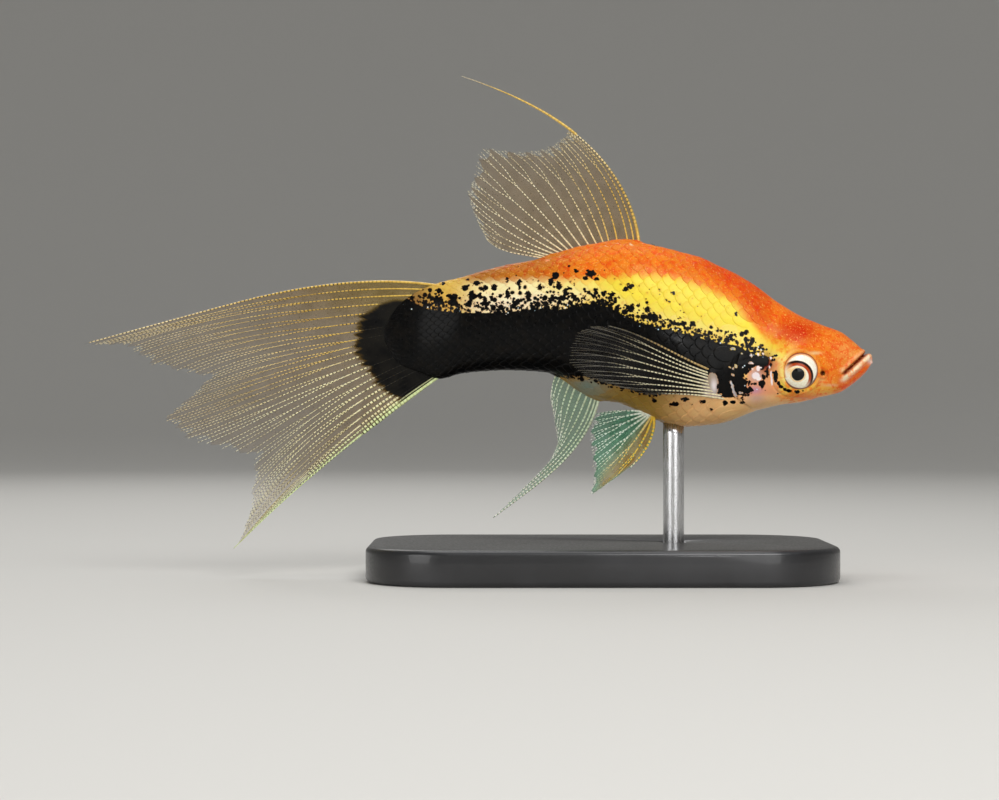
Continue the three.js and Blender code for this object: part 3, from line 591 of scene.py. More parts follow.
def on_flank(x, z):
    """Side view place on the flank that the camera shows at a place in the picture."""
    near_x, near_z = x, z
    for _ in range(4):
        shrunk = 1 - plain_depth(near_x, near_z) / CAMERA_DISTANCE
        near_x, near_z = CAMERA_X + (x - CAMERA_X) * shrunk, CAMERA_Z + (z - CAMERA_Z) * shrunk
    return near_x, near_z


# Markings


def spots_at(spots, x, z):
    """Full inside a spot's radius and gone at 1.6 of it."""
    cover = np.zeros(x.shape)
    for x0, z0, along, up in spots:
        near = (np.abs(x - x0) < 2 * along) & (np.abs(z - z0) < 2 * up)
        distance = apart(x[near], z[near], x0, z0, along, up)
        cover[near] = np.maximum(cover[near], np.clip((1.6 - distance) / 0.6, 0, 1))
    return cover


def pale_spots_and_glints(x, z):
    """Cover of the pale spots, with a row of small painted glints along the dorsal fin's root."""
    row = [(x0, level(DORSAL_ROOT, x0) - 0.35, 0.15, 0.12) for x0 in np.arange(-8.2, 5.6, 0.87)]
    return spots_at(PALE_SPOTS + row, x, z)


@functools.cache
def strewn_spots():
    """Clumps of black strewn over the dark zone's upper edge, thinner towards the back."""
    rng = np.random.default_rng(11)
    spots = []
    for count, span, sizes, (scatter, lowest), shapes in STREWN_SPOTS:
        for _ in range(count):
            x, radius = rng.uniform(*span), rng.uniform(*sizes)
            z = level(DARK_TOP, x) + lowest + rng.exponential(scatter)
            spots.append((x, z, radius, radius * rng.uniform(*shapes)))
    return spots


def lobe_distance(x, z):
    """Distance from the middle of the pectoral fin's fleshy base, where 1 is its edge."""
    return apart(x, z, 16.0, 27.5, 0.85, 1.7)


def dark_rear(x, z):
    """How far a place lies in front of the dark zone's rear edge on the tail fin."""
    return x - DARK_REAR - DARK_REAR_CURVE * (z - DARK_REAR_Z) ** 2


def dark_cover(x, z):
    """Density of black pigment: 1 in the dark zone, fading into scattered dots at its edge."""
    above = z - level(DARK_TOP, x) - DARK_STALK_RAISE * fade(-29, -24.2, x)
    front = DARK_FRONT + DARK_FRONT_HIGH * grow(29.7, 30.6, z) - x
    front = front + 0.4 * np.sin(1.7 * z) + 0.3 * np.sin(4.1 * z)
    beside = -np.minimum.reduce([z - level(DARK_LOW, x), dark_rear(x, z), front])
    inside = fade(-1.0, 0.3, above) * fade(-0.5, 0.2, beside)
    edge, reach_up, reach = DARK_FRINGE
    reach_up = reach_up * (1 - 0.5 * grow(-3, 4, x))
    fringe = edge * hill(np.maximum(above, 0), reach_up) * np.exp(-np.maximum(beside, 0) / reach)
    cheek = 0.8 * hill(apart(x, z, 23.7, 29.8, 1.1, 2.4), 1)
    under_eye = 0.45 * hill(apart(x, z, 24.4, 27.5, 1.5, 1.5), 1)
    freckles = 0.26 * fade(19, 22, x) * hill(above - 3.2, 3.0)
    cover = np.maximum.reduce([inside, fringe, cheek, under_eye, freckles])
    return np.maximum(cover, spots_at(BLACK_SPOTS + strewn_spots(), x, z))


def cover_line(x, z):
    """The pale line down the gill cover's free edge."""
    return hill(gill_distance(x, z), 0.17) * window(25.5, 26.2, 27.7, 28.3, z)


def body_colour(x, z, settings):
    """Colour under the black: orange back, yellow flank, golden belly, the head's marks, painted
    shade and painted glints.
    """
    def patch(x0, z0, along, up):
        return hill(apart(x, z, x0, z0, along, up), 1)

    gap, over = z - level(DARK_TOP, x), z - level(YELLOW_TOP, x)
    front = grow(-12, 3, x)
    flank = painted("FFF3B4", (settings.flank_colour, front))
    tan = painted("94702A", ("DDB64E", grow(-26, -22.5, x)))
    back = painted(
        "D6AE44", ("AE6E18", grow(-21, -17, x)), ("C87A1E", grow(-17, -10, x)),
        (settings.back_colour, grow(-10, 0, x)),
        ("E65C0E", grow(9, 18, x) * grow(0.8, 3.0, over)))
    trunk = [
        ("FFCB8C", grow(7, 15, x)),
        ("8A7234", 0.5 * patch(4, 25.2, 4, 1.3)),
        (flank, grow(-6, -2, gap)),
        ("FFFDE0", 0.8 * hill(gap - 0.5, 1.3) * (1 - 0.75 * front)),
        (tan, 0.95 * fade(-21.5, -15, x) * (z > 34)),
        (back, grow(-0.9, 0.7, over)),
    ]
    head = [
        ("F58A1E", grow(22.5, 25.5, x) * grow(26.2, 27.6, z) * grow(-1.5, 1.0, over)),
        ("F8DA44", 0.85 * patch(24.4, 33.1, 2.1, 1.2)),
        ("F9C83C", 0.8 * patch(26.9, 32.9, 1.1, 0.6)),
        ("D02C02", 0.97 * patch(28.3, 35.3, 3.4, 1.9)),
        ("EA6410", 0.6 * hill(x - 22.5, 4.5) * grow(2.5, 5, over)),
        ("E87A20", 0.7 * grow(30.5, 34.5, x)),
        ("F7AE62", 0.6 * patch(35.4, 32.2, 1.6, 1.5)),
        ("FFA048", 0.8 * patch(31.6, 27.8, 1.7, 1.1)),
        ("EE6418", 0.75 * patch(29.5, 25.7, 3.2, 1.0)),
        ("FBC8A4", 0.6 * patch(33.2, 27.4, 1.2, 0.2)),
        ("FFDC90", 0.5 * patch(31.6, 28.1, 0.5, 0.6)),
    ]
    gill = [
        ("F2C484", 0.8 * window(15, 20, 29, 33, x) * fade(24.6, 25.8, z)),
        ("C7A29C", 0.75 * patch(22.3, 25.6, 1.5, 0.9)),
        ("F0A274", 0.85 * window(20.6, 21.4, 25.2, 26.2, x) * window(25.6, 26.4, 30.4, 31.6, z)),
        ("C9B4BC", 0.9 * patch(22.3, 28.8, 0.9, 0.9)),
        ("7A1A12", 1.2 * patch(23.6, 30.6, 1.2, 1.4)),
        ("C492B4", 0.8 * patch(22.2, 26.7, 1.0, 0.6)),
    ]
    share, height = mouth_place(x, z)
    lip = hill(height + 0.58 + 0.06 * np.clip(share, 0, 5), 0.36) * grow(-0.3, -0.02, share)
    nostril = apart(x, z, *NOSTRIL)
    mouth = [
        ("F0701A", 0.97 * grow(0.0, 0.3, -height) * grow(33, 35, x)),
        ("FFEFC8", 1.1 * lip),
        ("F28A3C", 0.8 * patch(37.7, 30.5, 0.6, 0.3)),
        ("FFF4EC", 0.9 * patch(38.7, 30.9, 0.4, 0.5)),
        ("FFE2A8", 0.8 * patch(34.7, 29.5, 0.35, 0.3)),
        ("FBBE86", 0.6 * hill(height - 0.5, 0.3) * grow(-0.1, 0.1, share)),
        # Painted shade: a dark red line in the groove of the mouth's slit
        ("6E1008", 1.2 * hill(height, 0.25) * grow(-0.06, 0.08, share)),
        ("C24E18", 0.5 * hill(nostril - 0.7, 0.2)),
        # Painted shade: near black inside the nostril's pit
        ("0C0302", fade(0.28, 0.44, nostril)),
    ]
    eye = eye_distance(x, z)
    socket = [
        ("FFC056", 0.4 * hill(eye - 2.8, 0.25)),
        ("C8501C", 0.2 * hill(eye - 3.15, 0.2)),
        ("FFE0A8", 0.7 * patch(30.7, 32.0, 0.9, 0.22)),
        ("FFE68C", 0.8 * hill(eye - 2.8, 0.35) * fade(26.2, 28.4, x) * grow(26.6, 28.2, z)),
        ("8E3414", 0.9 * fade(2.3, 2.52, eye)),
    ]
    lobe = painted("9C8C78", ("EDE8EC", patch(16.3, 27.3, 0.45, 1.0)))
    # Pale spots, and in cream from z 43 up the painted glints along the dorsal fin's root
    pale = painted("FFF4F6", ("A8ACB4", (x > 15) * fade(21.2, 22, x)),
                   ("FFDDB0", grow(43, 44, z)))
    marks = [
        ("7E9690", 0.85 * patch(-1.2, 27.0, 2.6, 1.5)),
        (lobe, fade(1.0, 1.3, lobe_distance(x, z))),
        (pale, 4 * pale_spots_and_glints(x, z) - 0.4),
        ("D6DAE0", 4 * cover_line(x, z) - 0.4),
    ]
    return painted("A8863E", *trunk, *head, *gill, *mouth, *socket, *marks)


def skin_fields(points, settings, tone_places=None):
    """Fields of the skin's material; a scale's own colours are taken at other places."""
    x, z = in_picture(points)
    tone_x, tone_z = in_picture(points if tone_places is None else tone_places)
    clear = grow(0.7, 1.15, lobe_distance(x, z)) * fade(0.35, 0.85, pale_spots_and_glints(x, z))
    clear = clear * fade(0.35, 0.8, cover_line(x, z))
    gap = z - level(DARK_TOP, x)
    # Where painted glints of shiny pigment cells come: near the dark zone's top and on the gill
    # cover
    glint_flecks = 0.12 + 0.9 * hill(gap + 0.6, 1.0) + 0.6 * hill(x - 21.5, 3) * (z < 33)
    orange = grow(-0.6, 1.0, z - level(YELLOW_TOP, x)) * grow(-24, -8, x) + grow(24, 27, x)
    return {"tone": body_colour(tone_x, tone_z, settings), "dark": dark_cover(x, z) * clear,
            "glint_flecks": np.clip(glint_flecks * (x < 24.5), 0, 1), "fiery": np.clip(orange + 0.12, 0, 1)}


# Scales


def scale_columns():
    """Ring places of the columns of scales, closer together towards the tail."""
    columns, x = [], SCALE_COLUMNS[0]
    while x > SCALE_COLUMNS[1]:
        columns.append(x)
        x -= 0.62 + 0.26 * float(grow(-26, 0, x))
    return columns


def ring_number(x):
    """Each x as a place among the skin's rings, counted from the snout's tip."""
    places = ring_places()
    return len(CAP_SHARES) + np.interp(-x, -places, np.arange(len(places)))


def scale_patch():
    """Places on one scale, lengthways and crossways from its middle, and its faces."""
    rings = np.concatenate([[0], np.repeat(SCALE_RINGS, SCALE_SIDES)])
    turns = np.concatenate([[0], np.tile(around(SCALE_SIDES), len(SCALE_RINGS))])
    side = np.arange(SCALE_SIDES)
    after = (side + 1) % SCALE_SIDES
    fan = np.stack([np.zeros_like(side), 1 + side, 1 + after], 1)
    bands = 1 + grid_faces(len(SCALE_RINGS), SCALE_SIDES, True)[:, [0, 3, 2, 1]]
    return rings * np.cos(turns), rings * np.sin(turns), rings, fan, bands


def scale_layout(flank):
    """Middle x, share round and half length of each scale on one flank."""
    rows = []
    for number, x in enumerate(scale_columns()):
        shift = 0.5 * (number % 2)
        for row in range(SCALE_ROWS):
            share = ((row + shift) / SCALE_ROWS) % 1
            if (share < 0.5) == (flank < 0):
                rows.append((x, share, SCALE_HALF_LENGTH * (0.66 + 0.34 * grow(-27, -8, x))))
    return np.array(rows)


def bare_skin(points):
    """True where no scale grows: the head, the gill opening and the fleshy fin base."""
    x, z = in_picture(points)
    ahead = gill_distance(x, z) > np.where(z > 36.5, 3.2, -1.75)
    return ahead | (lobe_distance(x, z) < 1.6)


def make_scales(name, flank, settings, material):
    layout = scale_layout(flank)
    middles = on_skin(ring_number(layout[:, 0]), layout[:, 1], np.zeros(len(layout)))
    scaly = ~bare_skin(middles)
    layout, middles = layout[scaly], middles[scaly]
    rng = np.random.default_rng(5 if flank < 0 else 6)
    lengthways, crossways, rings, fan, bands = scale_patch()
    x, share, half = (column[:, None] for column in layout.T)
    jitter = rng.normal(0, 1, (len(layout), 3))
    ring = ring_number(x - half * lengthways * (1 + 0.04 * jitter[:, :1]))
    narrow = 1 - 0.12 * np.clip(lengthways, 0, 1) ** 2
    turn = share + SCALE_HALF_WIDTH / SCALE_ROWS * crossways * narrow
    # A scale rises towards its free edge, dips at its root and is crowned across
    lift = 0.03 + 0.06 * lengthways - 0.08 * np.maximum(-0.3 - lengthways, 0)
    lift = lift + 0.02 * (1 - crossways ** 2)
    rise = settings.scale_rise / MM / SCALE_RISE * (lift + 0.006 * jitter[:, 1:2])
    rise = np.where(rings == 1, -0.05, rise)  # its outline goes under the skin
    points = on_skin(ring, turn, rise).reshape(-1, 3)
    count, size = len(layout), len(lengthways)
    offset = (np.arange(count) * size)[:, None, None]
    faces = [(fan[None] + offset).reshape(-1, 3), (bands[None] + offset).reshape(-1, 4)]
    uv = np.stack([ring / ring.max(), turn % 1], -1).reshape(-1, 2)
    rim = np.tile(np.clip(rings * grow(-0.4, 0.6, lengthways), 0, 1) ** 3, count)
    shade = np.repeat(0.5 + 0.2 * jitter[:, 2], size)
    tone_places = 0.45 * points + 0.55 * np.repeat(middles, size, 0)
    made = make_object(name, points, faces, material, uv, rim=rim, shade=shade,
                       **skin_fields(points, settings, tone_places))
    finish_piece(made, "golden_skin")


# Fins


class Fan:
    """A fin's sheet: guide rays in side view, with its y given by a function of x and z."""

    STEPS = 160

    def __init__(self, guides, depth, sink):
        self.guides, self.depth, self.sink = guides, depth, sink
        self.lines = np.array([self.line(guide) for guide in guides])
        self.starts = np.array([self.direction(guide, 0) for guide in guides])
        self.lengths = np.array([guide[2] for guide in guides])

    @staticmethod
    def direction(guide, share):
        root, half, tip = guide[3:]
        heading = np.radians(root * (1 - share) * (1 - 2 * share) + 4 * half * share * (1 - share)
                             + tip * share * (2 * share - 1))
        return np.stack([np.cos(heading), np.sin(heading)], -1)

    def line(self, guide):
        shares = (np.arange(self.STEPS) + 0.5) / self.STEPS
        steps = self.direction(guide, shares) * guide[2] / self.STEPS
        return np.vstack([[guide[:2]], guide[:2] + steps.cumsum(0)])

    def length(self, place):
        return np.interp(place, np.arange(len(self.lengths)), self.lengths)

    def at(self, place, share, lift=0.0):
        """Points at a place counted in guides and a share of the way out to the tips."""
        place, share = np.broadcast_arrays(np.asarray(place, float), np.asarray(share, float))
        i = np.clip(place.astype(int), 0, len(self.guides) - 2)
        step = np.clip(share, 0, 1) * self.STEPS
        k = np.minimum(step.astype(int), self.STEPS - 1)
        t = (step - k)[..., None]
        sunk = (np.minimum(share, 0) * self.sink)[..., None]
        p, q = (self.lines[g, k] * (1 - t) + self.lines[g, k + 1] * t + self.starts[g] * sunk
                for g in (i, i + 1))
        part = (place - i)[..., None]
        x, z = np.moveaxis(p * (1 - part) + q * part, -1, 0)
        return np.stack([x, self.depth(x, z) + lift, z], -1)


def first_part(guide, share):
    """The same guide ray cut off after a share of its length."""
    x, z, length, *_ = guide
    ends = [Fan.direction(guide, s) for s in (0, share / 2, share)]
    headings = [math.degrees(math.atan2(dz, dx)) % 360 for dx, dz in ends]
    return (x, z, length * share, *headings)


def turned(guide, root, turn, curl, size):
    """The guide ray turned and resized about a root, with its tip curled further round."""
    x, z, length, *headings = guide
    angle = math.radians(turn)
    dx, dz = (x - root[0]) * size, (z - root[1]) * size
    bent = [heading + turn + curl * i / 2 for i, heading in enumerate(headings)]
    return (root[0] + dx * math.cos(angle) - dz * math.sin(angle),
            root[1] + dx * math.sin(angle) + dz * math.cos(angle), length * size, *bent)


def ripple(x, z, height, pitch):
    return height * np.sin((z + 0.35 * x) * pitch)


def dorsal_depth(x, z):
    above = np.maximum(z - 46, 0)
    return 0.0024 * above ** 2 + ripple(x, z, 0.02 * above, 0.5)


def caudal_depth(x, z):
    behind = np.maximum(-30 - x, 0)
    return -0.0011 * np.maximum(-16 - x, 0) ** 2 + ripple(x, z, 0.022 * behind, 0.42)


def anal_depth(x, z):
    return 0.045 * np.maximum(26 - z, 0)


def right_pectoral_depth(x, z):
    behind = PECTORAL_ROOT[0] - x
    return -plain_depth(*PECTORAL_ROOT) - PECTORAL_SPREAD * behind + 0.012 * behind ** 2


def left_pectoral_depth(x, z):
    return plain_depth(*PECTORAL_ROOT) + LEFT_PECTORAL_SPREAD * (z - PECTORAL_ROOT[1])


def right_pelvic_depth(x, z):
    return -(PELVIC_OFFSET + PELVIC_SPREAD * (PELVIC_ROOT[1] - z))


def left_pelvic_depth(x, z):
    return PELVIC_OFFSET + LEFT_PELVIC_SPREAD * (PELVIC_ROOT[1] - z)


def tube(points, radii):
    """A closed tube along points, and its faces."""
    tangents = unit(np.gradient(points, axis=0))
    side = unit(np.cross(tangents, [0, 1, 0]))
    other = np.cross(side, tangents)
    angles = around(RAY_SIDES)[None, :, None]
    ring = np.cos(angles) * side[:, None] + np.sin(angles) * other[:, None]
    rings = points[:, None] + ring * radii[:, None, None]
    last = (len(points) - 1) * RAY_SIDES
    caps = np.array([(0, 3, 2, 1), (0, 5, 4, 3)])
    faces = np.concatenate([grid_faces(len(points), RAY_SIDES, True), caps,
                            last + caps[:, ::-1]])
    return rings.reshape(-1, 3), faces


def branch_plan(splits, spacing):
    """Parts of one ray: side step at its start and end, start and end share, thickness."""
    if not splits:
        return [(0, 0, -1, 1, 1)]
    first, second = splits
    near, far = (step * spacing for step in BRANCH_STEPS)
    plan = [(0, 0, -1, first, 1)]
    for side in (-near, near):
        plan.append((0, side, first, second, BRANCH_THICKNESS[0]))
        plan += [(side, side + more, second, 1, BRANCH_THICKNESS[1]) for more in (-far, far)]
    return plan


def ray_fields(tone, along, reach):
    """The fields of a ray's material, from one value for each ring of its tube."""
    return {"tone": np.repeat(tone, RAY_SIDES, 0), "along": np.repeat(along, RAY_SIDES),
            "reach": np.repeat(reach, RAY_SIDES)}


def add_ray(heap, fan, place, spacing, splits, radius, look, rng):
    """One jointed ray, split into branches towards its tip, painted by place and share."""
    length = float(fan.length(place))
    for start_off, end_off, start, end, thick in branch_plan(splits, spacing):
        reach = end if end < 1 else 1 - rng.uniform(0, RAY_SHORTFALL)
        run = length * (reach - max(start, 0)) + (fan.sink if start < 0 else 0)
        shares = np.linspace(start, reach, max(int(run / RAY_STEP), 3) + 1)
        out = np.clip(shares, 0, 1)
        swing = grow(start, min(start + BRANCH_SWING, 1), shares)
        places = np.clip(place + start_off + (end_off - start_off) * swing,
                         0, len(fan.guides) - 1)
        points = fan.at(places, shares)
        gone = np.concatenate([[0], np.linalg.norm(np.diff(points, axis=0), axis=1).cumsum()])
        along = gone + max(start, 0) * length + rng.uniform(0, JOINT_LENGTH)
        joint = np.abs((along / JOINT_LENGTH + 0.5) % 1 - 0.5)
        girth = radius * thick * (1 - (1 - RAY_TAPER) * out)
        girth = girth * (1 - JOINT_DIP * hill(joint, JOINT_WIDTH) * grow(0.1, 0.3, shares))
        girth = girth * look.stout(points, shares, places)
        girth[-1] *= RAY_TIP
        heap.add(*tube(points, girth),
                 **ray_fields(look.ray_tone(points, shares, places), along, out))


def add_membrane(heap, fan, look, rng):
    """The thin sheet between the rays, closed all round, with its edge drawn in between tips."""
    columns = look.rays * BETWEEN_RAYS + 1
    place = np.linspace(0, len(fan.guides) - 1, columns)[:, None]
    phase = (np.arange(columns) / BETWEEN_RAYS + 0.5) % 1  # the tips stand between two rays
    phase[0] = phase[-1] = 0
    span = np.sin(math.pi * phase)[:, None]

    def each(values):
        return np.repeat(values, BETWEEN_RAYS)[:columns, None]

    uneven = each(rng.uniform(*EDGE_UNEVENNESS, look.rays + 1))
    reach = 1 - (EDGE_INSET + look.scallop * span * uneven) / fan.length(place)
    shares = np.concatenate([[-1], np.linspace(0, 1, look.rows + 1)])[None]
    out = np.where(shares < 0, shares, shares * reach)
    lift = each(rng.normal(0, SHEET_SWAY, look.rays + 1)) * span * np.clip(out, 0, 1)
    middle = fan.at(place, out, lift)
    thick = np.array([0, MEMBRANE_HALF, 0])
    size, per = out.size, out.shape[1]
    near = grid_faces(columns, per)
    edge = np.concatenate([np.arange(per), np.arange(1, columns) * per + per - 1,
                           (columns - 1) * per + np.arange(per - 2, -1, -1),
                           np.arange(columns - 2, 0, -1) * per])
    after = np.roll(edge, -1)
    rim = np.stack([after, edge, edge + size, after + size], 1)
    tone, veil = look.sheet_tone(middle, out, place), look.veil(middle, out, place)
    heap.add(np.stack([middle - thick, middle + thick]).reshape(-1, 3),
             np.concatenate([near, near[:, ::-1] + size, rim])[:, ::-1],
             tone=np.tile(tone.reshape(size, 3), (2, 1)), veil=np.tile(veil.reshape(size), 2))


def tail_black(points):
    """Cover of the dark zone on the tail fin, with a ragged rear edge."""
    x, _, z = np.moveaxis(points, -1, 0)
    ragged = 0.45 * np.sin(2.9 * z) * np.sin(1.7 * z + 1) + 0.25 * np.sin(7.3 * z)
    edge = np.minimum(dark_rear(x, z) + ragged, level(DARK_TOP, x) - z + 0.2)
    return grow(-0.3, 0.3, edge)


# Materials


class Shader:
    """A node material that is built up round one principled shader."""

    def __init__(self, name, **constants):
        self.material = bpy.data.materials.new(name)
        self.material.use_nodes = True
        self.tree = self.material.node_tree
        self.tree.nodes.clear()
        constants = {key.replace("_", " "): value for key, value in constants.items()}
        self.shader = self.node("BsdfPrincipled", constants)
        self.node("OutputMaterial", {0: self.shader.outputs[0]})
        self.place = self.node("TexCoord").outputs["Object"]

    def feed(self, made, inputs):
        """Set a node's inputs to values, or link them to sockets."""
        for key, value in dict(inputs).items():
            if isinstance(value, bpy.types.NodeSocket):
                self.tree.links.new(value, made.inputs[key])
            else:
                made.inputs[key].default_value = value

    def node(self, kind, inputs=(), **settings):
        made = self.tree.nodes.new("ShaderNode" + kind)
        for key, value in settings.items():
            setattr(made, key, value)
        self.feed(made, inputs)
        return made

    def field(self, name, output="Fac"):
        return self.node("Attribute", attribute_name=name).outputs[output]

    def maths(self, operation, *values, clamp=False):
        made = self.node("Math", enumerate(values), operation=operation, use_clamp=clamp)
        return made.outputs[0]

    def times(self, first, second):
        return self.maths("MULTIPLY", first, second)

    def ramp(self, value, low, high, to=(0.0, 1.0)):
        """The value carried smoothly from one range to another."""
        made = self.node("MapRange", {0: value, 1: low, 2: high, 3: to[0], 4: to[1]},
                         interpolation_type="SMOOTHSTEP")
        return made.outputs[0]

    def mixed(self, factor, first, second, blend="MIX"):
        made = self.node("Mix", {0: factor, 6: first, 7: second}, data_type="RGBA",
                         blend_type=blend)
        return made.outputs[2]

    def stained(self, colour, *stains):
        """The colour multiplied by others one by one, each with its cover."""
        for cover, stain in stains:
            colour = self.mixed(cover, colour, (*stain, 1), "MULTIPLY")
        return colour

    def noise(self, size_mm, detail=3.0, roughness=0.55, output="Fac", place=None):
        made = self.node("TexNoise", {
            "Vector": self.place if place is None else place, "Scale": 1 / (size_mm * MM),
            "Detail": detail, "Roughness": roughness})
        return made.outputs[output]

    def cells(self, size_mm, place=None):
        """Distance from the middle of one of many cells, and three random numbers for it."""
        made = self.node("TexVoronoi", {"Vector": self.place if place is None else place,
                                        "Scale": 1 / (size_mm * MM)})
        luck = self.node("SeparateColor", {0: made.outputs["Color"]})
        return made.outputs["Distance"], luck.outputs

    def dots(self, size_mm, density, growth, widest, place):
        """How far inside a round dot a point is: one dot a cell, coming in with the density."""
        distance, luck = self.cells(size_mm, place)
        grown = self.maths("MULTIPLY_ADD", luck[0], -0.85, density)
        size = self.times(self.maths("MAXIMUM", grown, 0.0), growth)
        return self.maths("SUBTRACT", self.maths("MINIMUM", size, widest), distance)

    def finish(self, colour, roughness, height=None, bump_mm=0.0, strength=0.0):
        """The material, once its shader has its colour, roughness and bump."""
        self.feed(self.shader, {"Base Color": colour, "Roughness": roughness})
        if height is not None:
            bump = self.node("Bump", {"Height": height, "Distance": bump_mm * MM,
                                      "Strength": strength})
            self.feed(self.shader, {"Normal": bump.outputs[0]})
        return self.material


def skin_material(settings):
    skin = Shader("fish_skin", Subsurface_Weight=0.1, Subsurface_Radius=(1.0, 0.5, 0.25),
                  Subsurface_Scale=0.0005, Coat_Weight=settings.gloss, Coat_Roughness=0.16,
                  Specular_IOR_Level=0.07)
    fiery = skin.field("fiery")
    mottle = skin.noise(0.55, 6.0, 0.7)
    red = skin.ramp(mottle, 0.5, 0.62, (0.0, 0.8))
    deep = skin.ramp(skin.noise(1.1, 3.0, 0.6), 0.48, 0.6, (0.0, 0.8))
    gilt = skin.ramp(skin.noise(0.26, 3.0, 0.6), 0.56, 0.68, (0.0, 0.5))
    edge = skin.times(skin.field("rim"), skin.maths("MULTIPLY_ADD", fiery, 0.32, 0.13))
    colour = skin.stained(
        skin.field("tone", "Color"),
        (skin.ramp(mottle, 0.36, 0.62, (0.22, 0.0)), (0.86, 0.72, 0.6)),
        (skin.times(fiery, red), (1.0, 0.52, 0.36)),
        (skin.times(fiery, deep), (0.98, 0.6, 0.42)))
    colour = skin.mixed(skin.times(fiery, gilt), colour, (1.0, 0.58, 0.14, 1))
    colour = skin.stained(
        colour, (edge, (0.86, 0.4, 0.22)),
        (skin.ramp(skin.field("shade"), 0.1, 0.9, (0.0, 0.3)), (0.8, 0.76, 0.72)))

    # Black pigment: a full zone, and dots on bent places that grow with the density
    warp = skin.noise(0.3, 2.0, output="Color")
    centred = skin.node("VectorMath", {0: warp, 1: (0.5, 0.5, 0.5)}, operation="SUBTRACT")
    small = skin.node("VectorMath", {0: centred.outputs[0], "Scale": 0.00014}, operation="SCALE")
    bent = skin.node("VectorMath", {0: skin.place, 1: small.outputs[0]}, operation="ADD")
    dark = skin.field("dark")
    uneven = skin.maths("ADD", skin.noise(0.5, 1.5, 0.5), skin.maths("ADD", dark, -0.5))
    inside = skin.times(skin.maths("SUBTRACT", uneven, 0.86), 1.2)
    for part in (skin.ramp(dark, 0.86, 0.98, (-0.5, 0.5)),
                 skin.dots(0.9, dark, 1.5, 0.46, bent.outputs[0]),
                 skin.dots(0.48, dark, 1.2, 0.5, bent.outputs[0])):
        inside = skin.maths("MAXIMUM", inside, part)
    colour = skin.stained(colour, (skin.ramp(inside, -0.2, -0.02, (0.0, 0.3)), (0.8, 0.3, 0.14)))
    black = skin.mixed(skin.ramp(skin.noise(1.1), 0.4, 0.75), (0.001, 0.001, 0.001, 1),
                       (0.004, 0.003, 0.002, 1))
    colour = skin.mixed(skin.ramp(inside, -0.04, 0.06), colour, black)

    # Bright flecks of single shiny pigment cells: the cells are the skin's own, their glints are
    # painted into the colour
    distance, luck = skin.cells(0.55)
    lucky = skin.ramp(skin.times(skin.field("glint_flecks"), luck[1]), 0.5, 0.58)
    fleck = skin.maths("SUBTRACT", 1.0, skin.ramp(distance, 0.14, 0.22))
    fleck_tone = skin.mixed(luck[2], (1.0, 0.93, 0.78, 1), (0.62, 0.85, 1.0, 1))
    colour = skin.mixed(skin.times(lucky, fleck), colour, fleck_tone)
    height = skin.maths("MULTIPLY_ADD", mottle, 1.2, skin.noise(0.16))
    return skin.finish(colour, skin.ramp(mottle, 0.3, 0.75, (0.26, 0.44)), height, 0.03, 0.45)


def eye_material():
    eye = Shader("eye_lens", Coat_Weight=0.45, Coat_Roughness=0.03, Specular_IOR_Level=0.1)
    tone, silver = eye.field("tone", "Color"), eye.field("silver")
    fleck = eye.noise(0.22, 4.0, 0.6)
    shade = eye.mixed(eye.ramp(fleck, 0.35, 0.65), (0.94, 0.86, 0.72, 1), (1.06, 1.06, 1.04, 1))
    colour = eye.mixed(eye.times(silver, 0.7), tone, eye.mixed(1.0, tone, shade, "MULTIPLY"))
    return eye.finish(colour, eye.ramp(silver, 0.0, 1.0, (0.08, 0.3)), fleck, 0.02, 0.25)


def membrane_material(name, fleck_tone, fleck_share):
    """Clear skin of a fin, with its tone and veil in fields, cloudy and flecked."""
    sheet = Shader(name, Specular_IOR_Level=0.12)
    cloud = sheet.noise(2.2, 4.0)
    distance, luck = sheet.cells(0.34)
    fleck = sheet.times(sheet.ramp(distance, 0.26, 0.16),
                        sheet.ramp(luck[0], 1 - fleck_share, 1.04 - fleck_share))
    colour = sheet.mixed(sheet.ramp(cloud, 0.3, 0.7, (0.0, 0.25)), sheet.field("tone", "Color"),
                         fleck_tone)
    colour = sheet.mixed(sheet.times(fleck, 0.6), colour, fleck_tone)
    thick = sheet.times(sheet.field("veil"), sheet.ramp(cloud, 0.25, 0.75, (0.82, 1.15)))
    alpha = sheet.maths("MULTIPLY_ADD", fleck, 0.25, thick, clamp=True)
    sheet.feed(sheet.shader, {"Alpha": alpha})
    return sheet.finish(colour, sheet.ramp(cloud, 0.3, 0.7, (0.28, 0.45)), sheet.noise(0.5),
                        0.05, 0.35)


def ray_material(name, joint_tone):
    """Jointed bone of a fin ray, with darker joints that come in along its length."""
    bone = Shader(name, Specular_IOR_Level=0.4, Coat_Weight=0.3, Coat_Roughness=0.12,
                  Subsurface_Weight=0.1, Subsurface_Radius=(1.0, 0.7, 0.4),
                  Subsurface_Scale=0.0003)
    phase = bone.maths("FRACT", bone.maths("DIVIDE", bone.field("along"), JOINT_LENGTH))
    dash = bone.ramp(bone.maths("ABSOLUTE", bone.maths("SUBTRACT", phase, 0.5)), 0.26, 0.36)
    broken = bone.times(dash, bone.ramp(bone.field("reach"), 0.08, 0.3, (0.15, 0.95)))
    wear = bone.noise(0.7)
    lit = bone.mixed(bone.ramp(wear, 0.35, 0.65), (0.78, 0.72, 0.6, 1), (1.1, 1.1, 1.05, 1))
    colour = bone.mixed(0.6, bone.field("tone", "Color"), lit, "MULTIPLY")
    colour = bone.mixed(broken, colour, joint_tone)
    return bone.finish(colour, bone.ramp(wear, 0.3, 0.7, (0.22, 0.42)), wear, 0.03, 0.3)


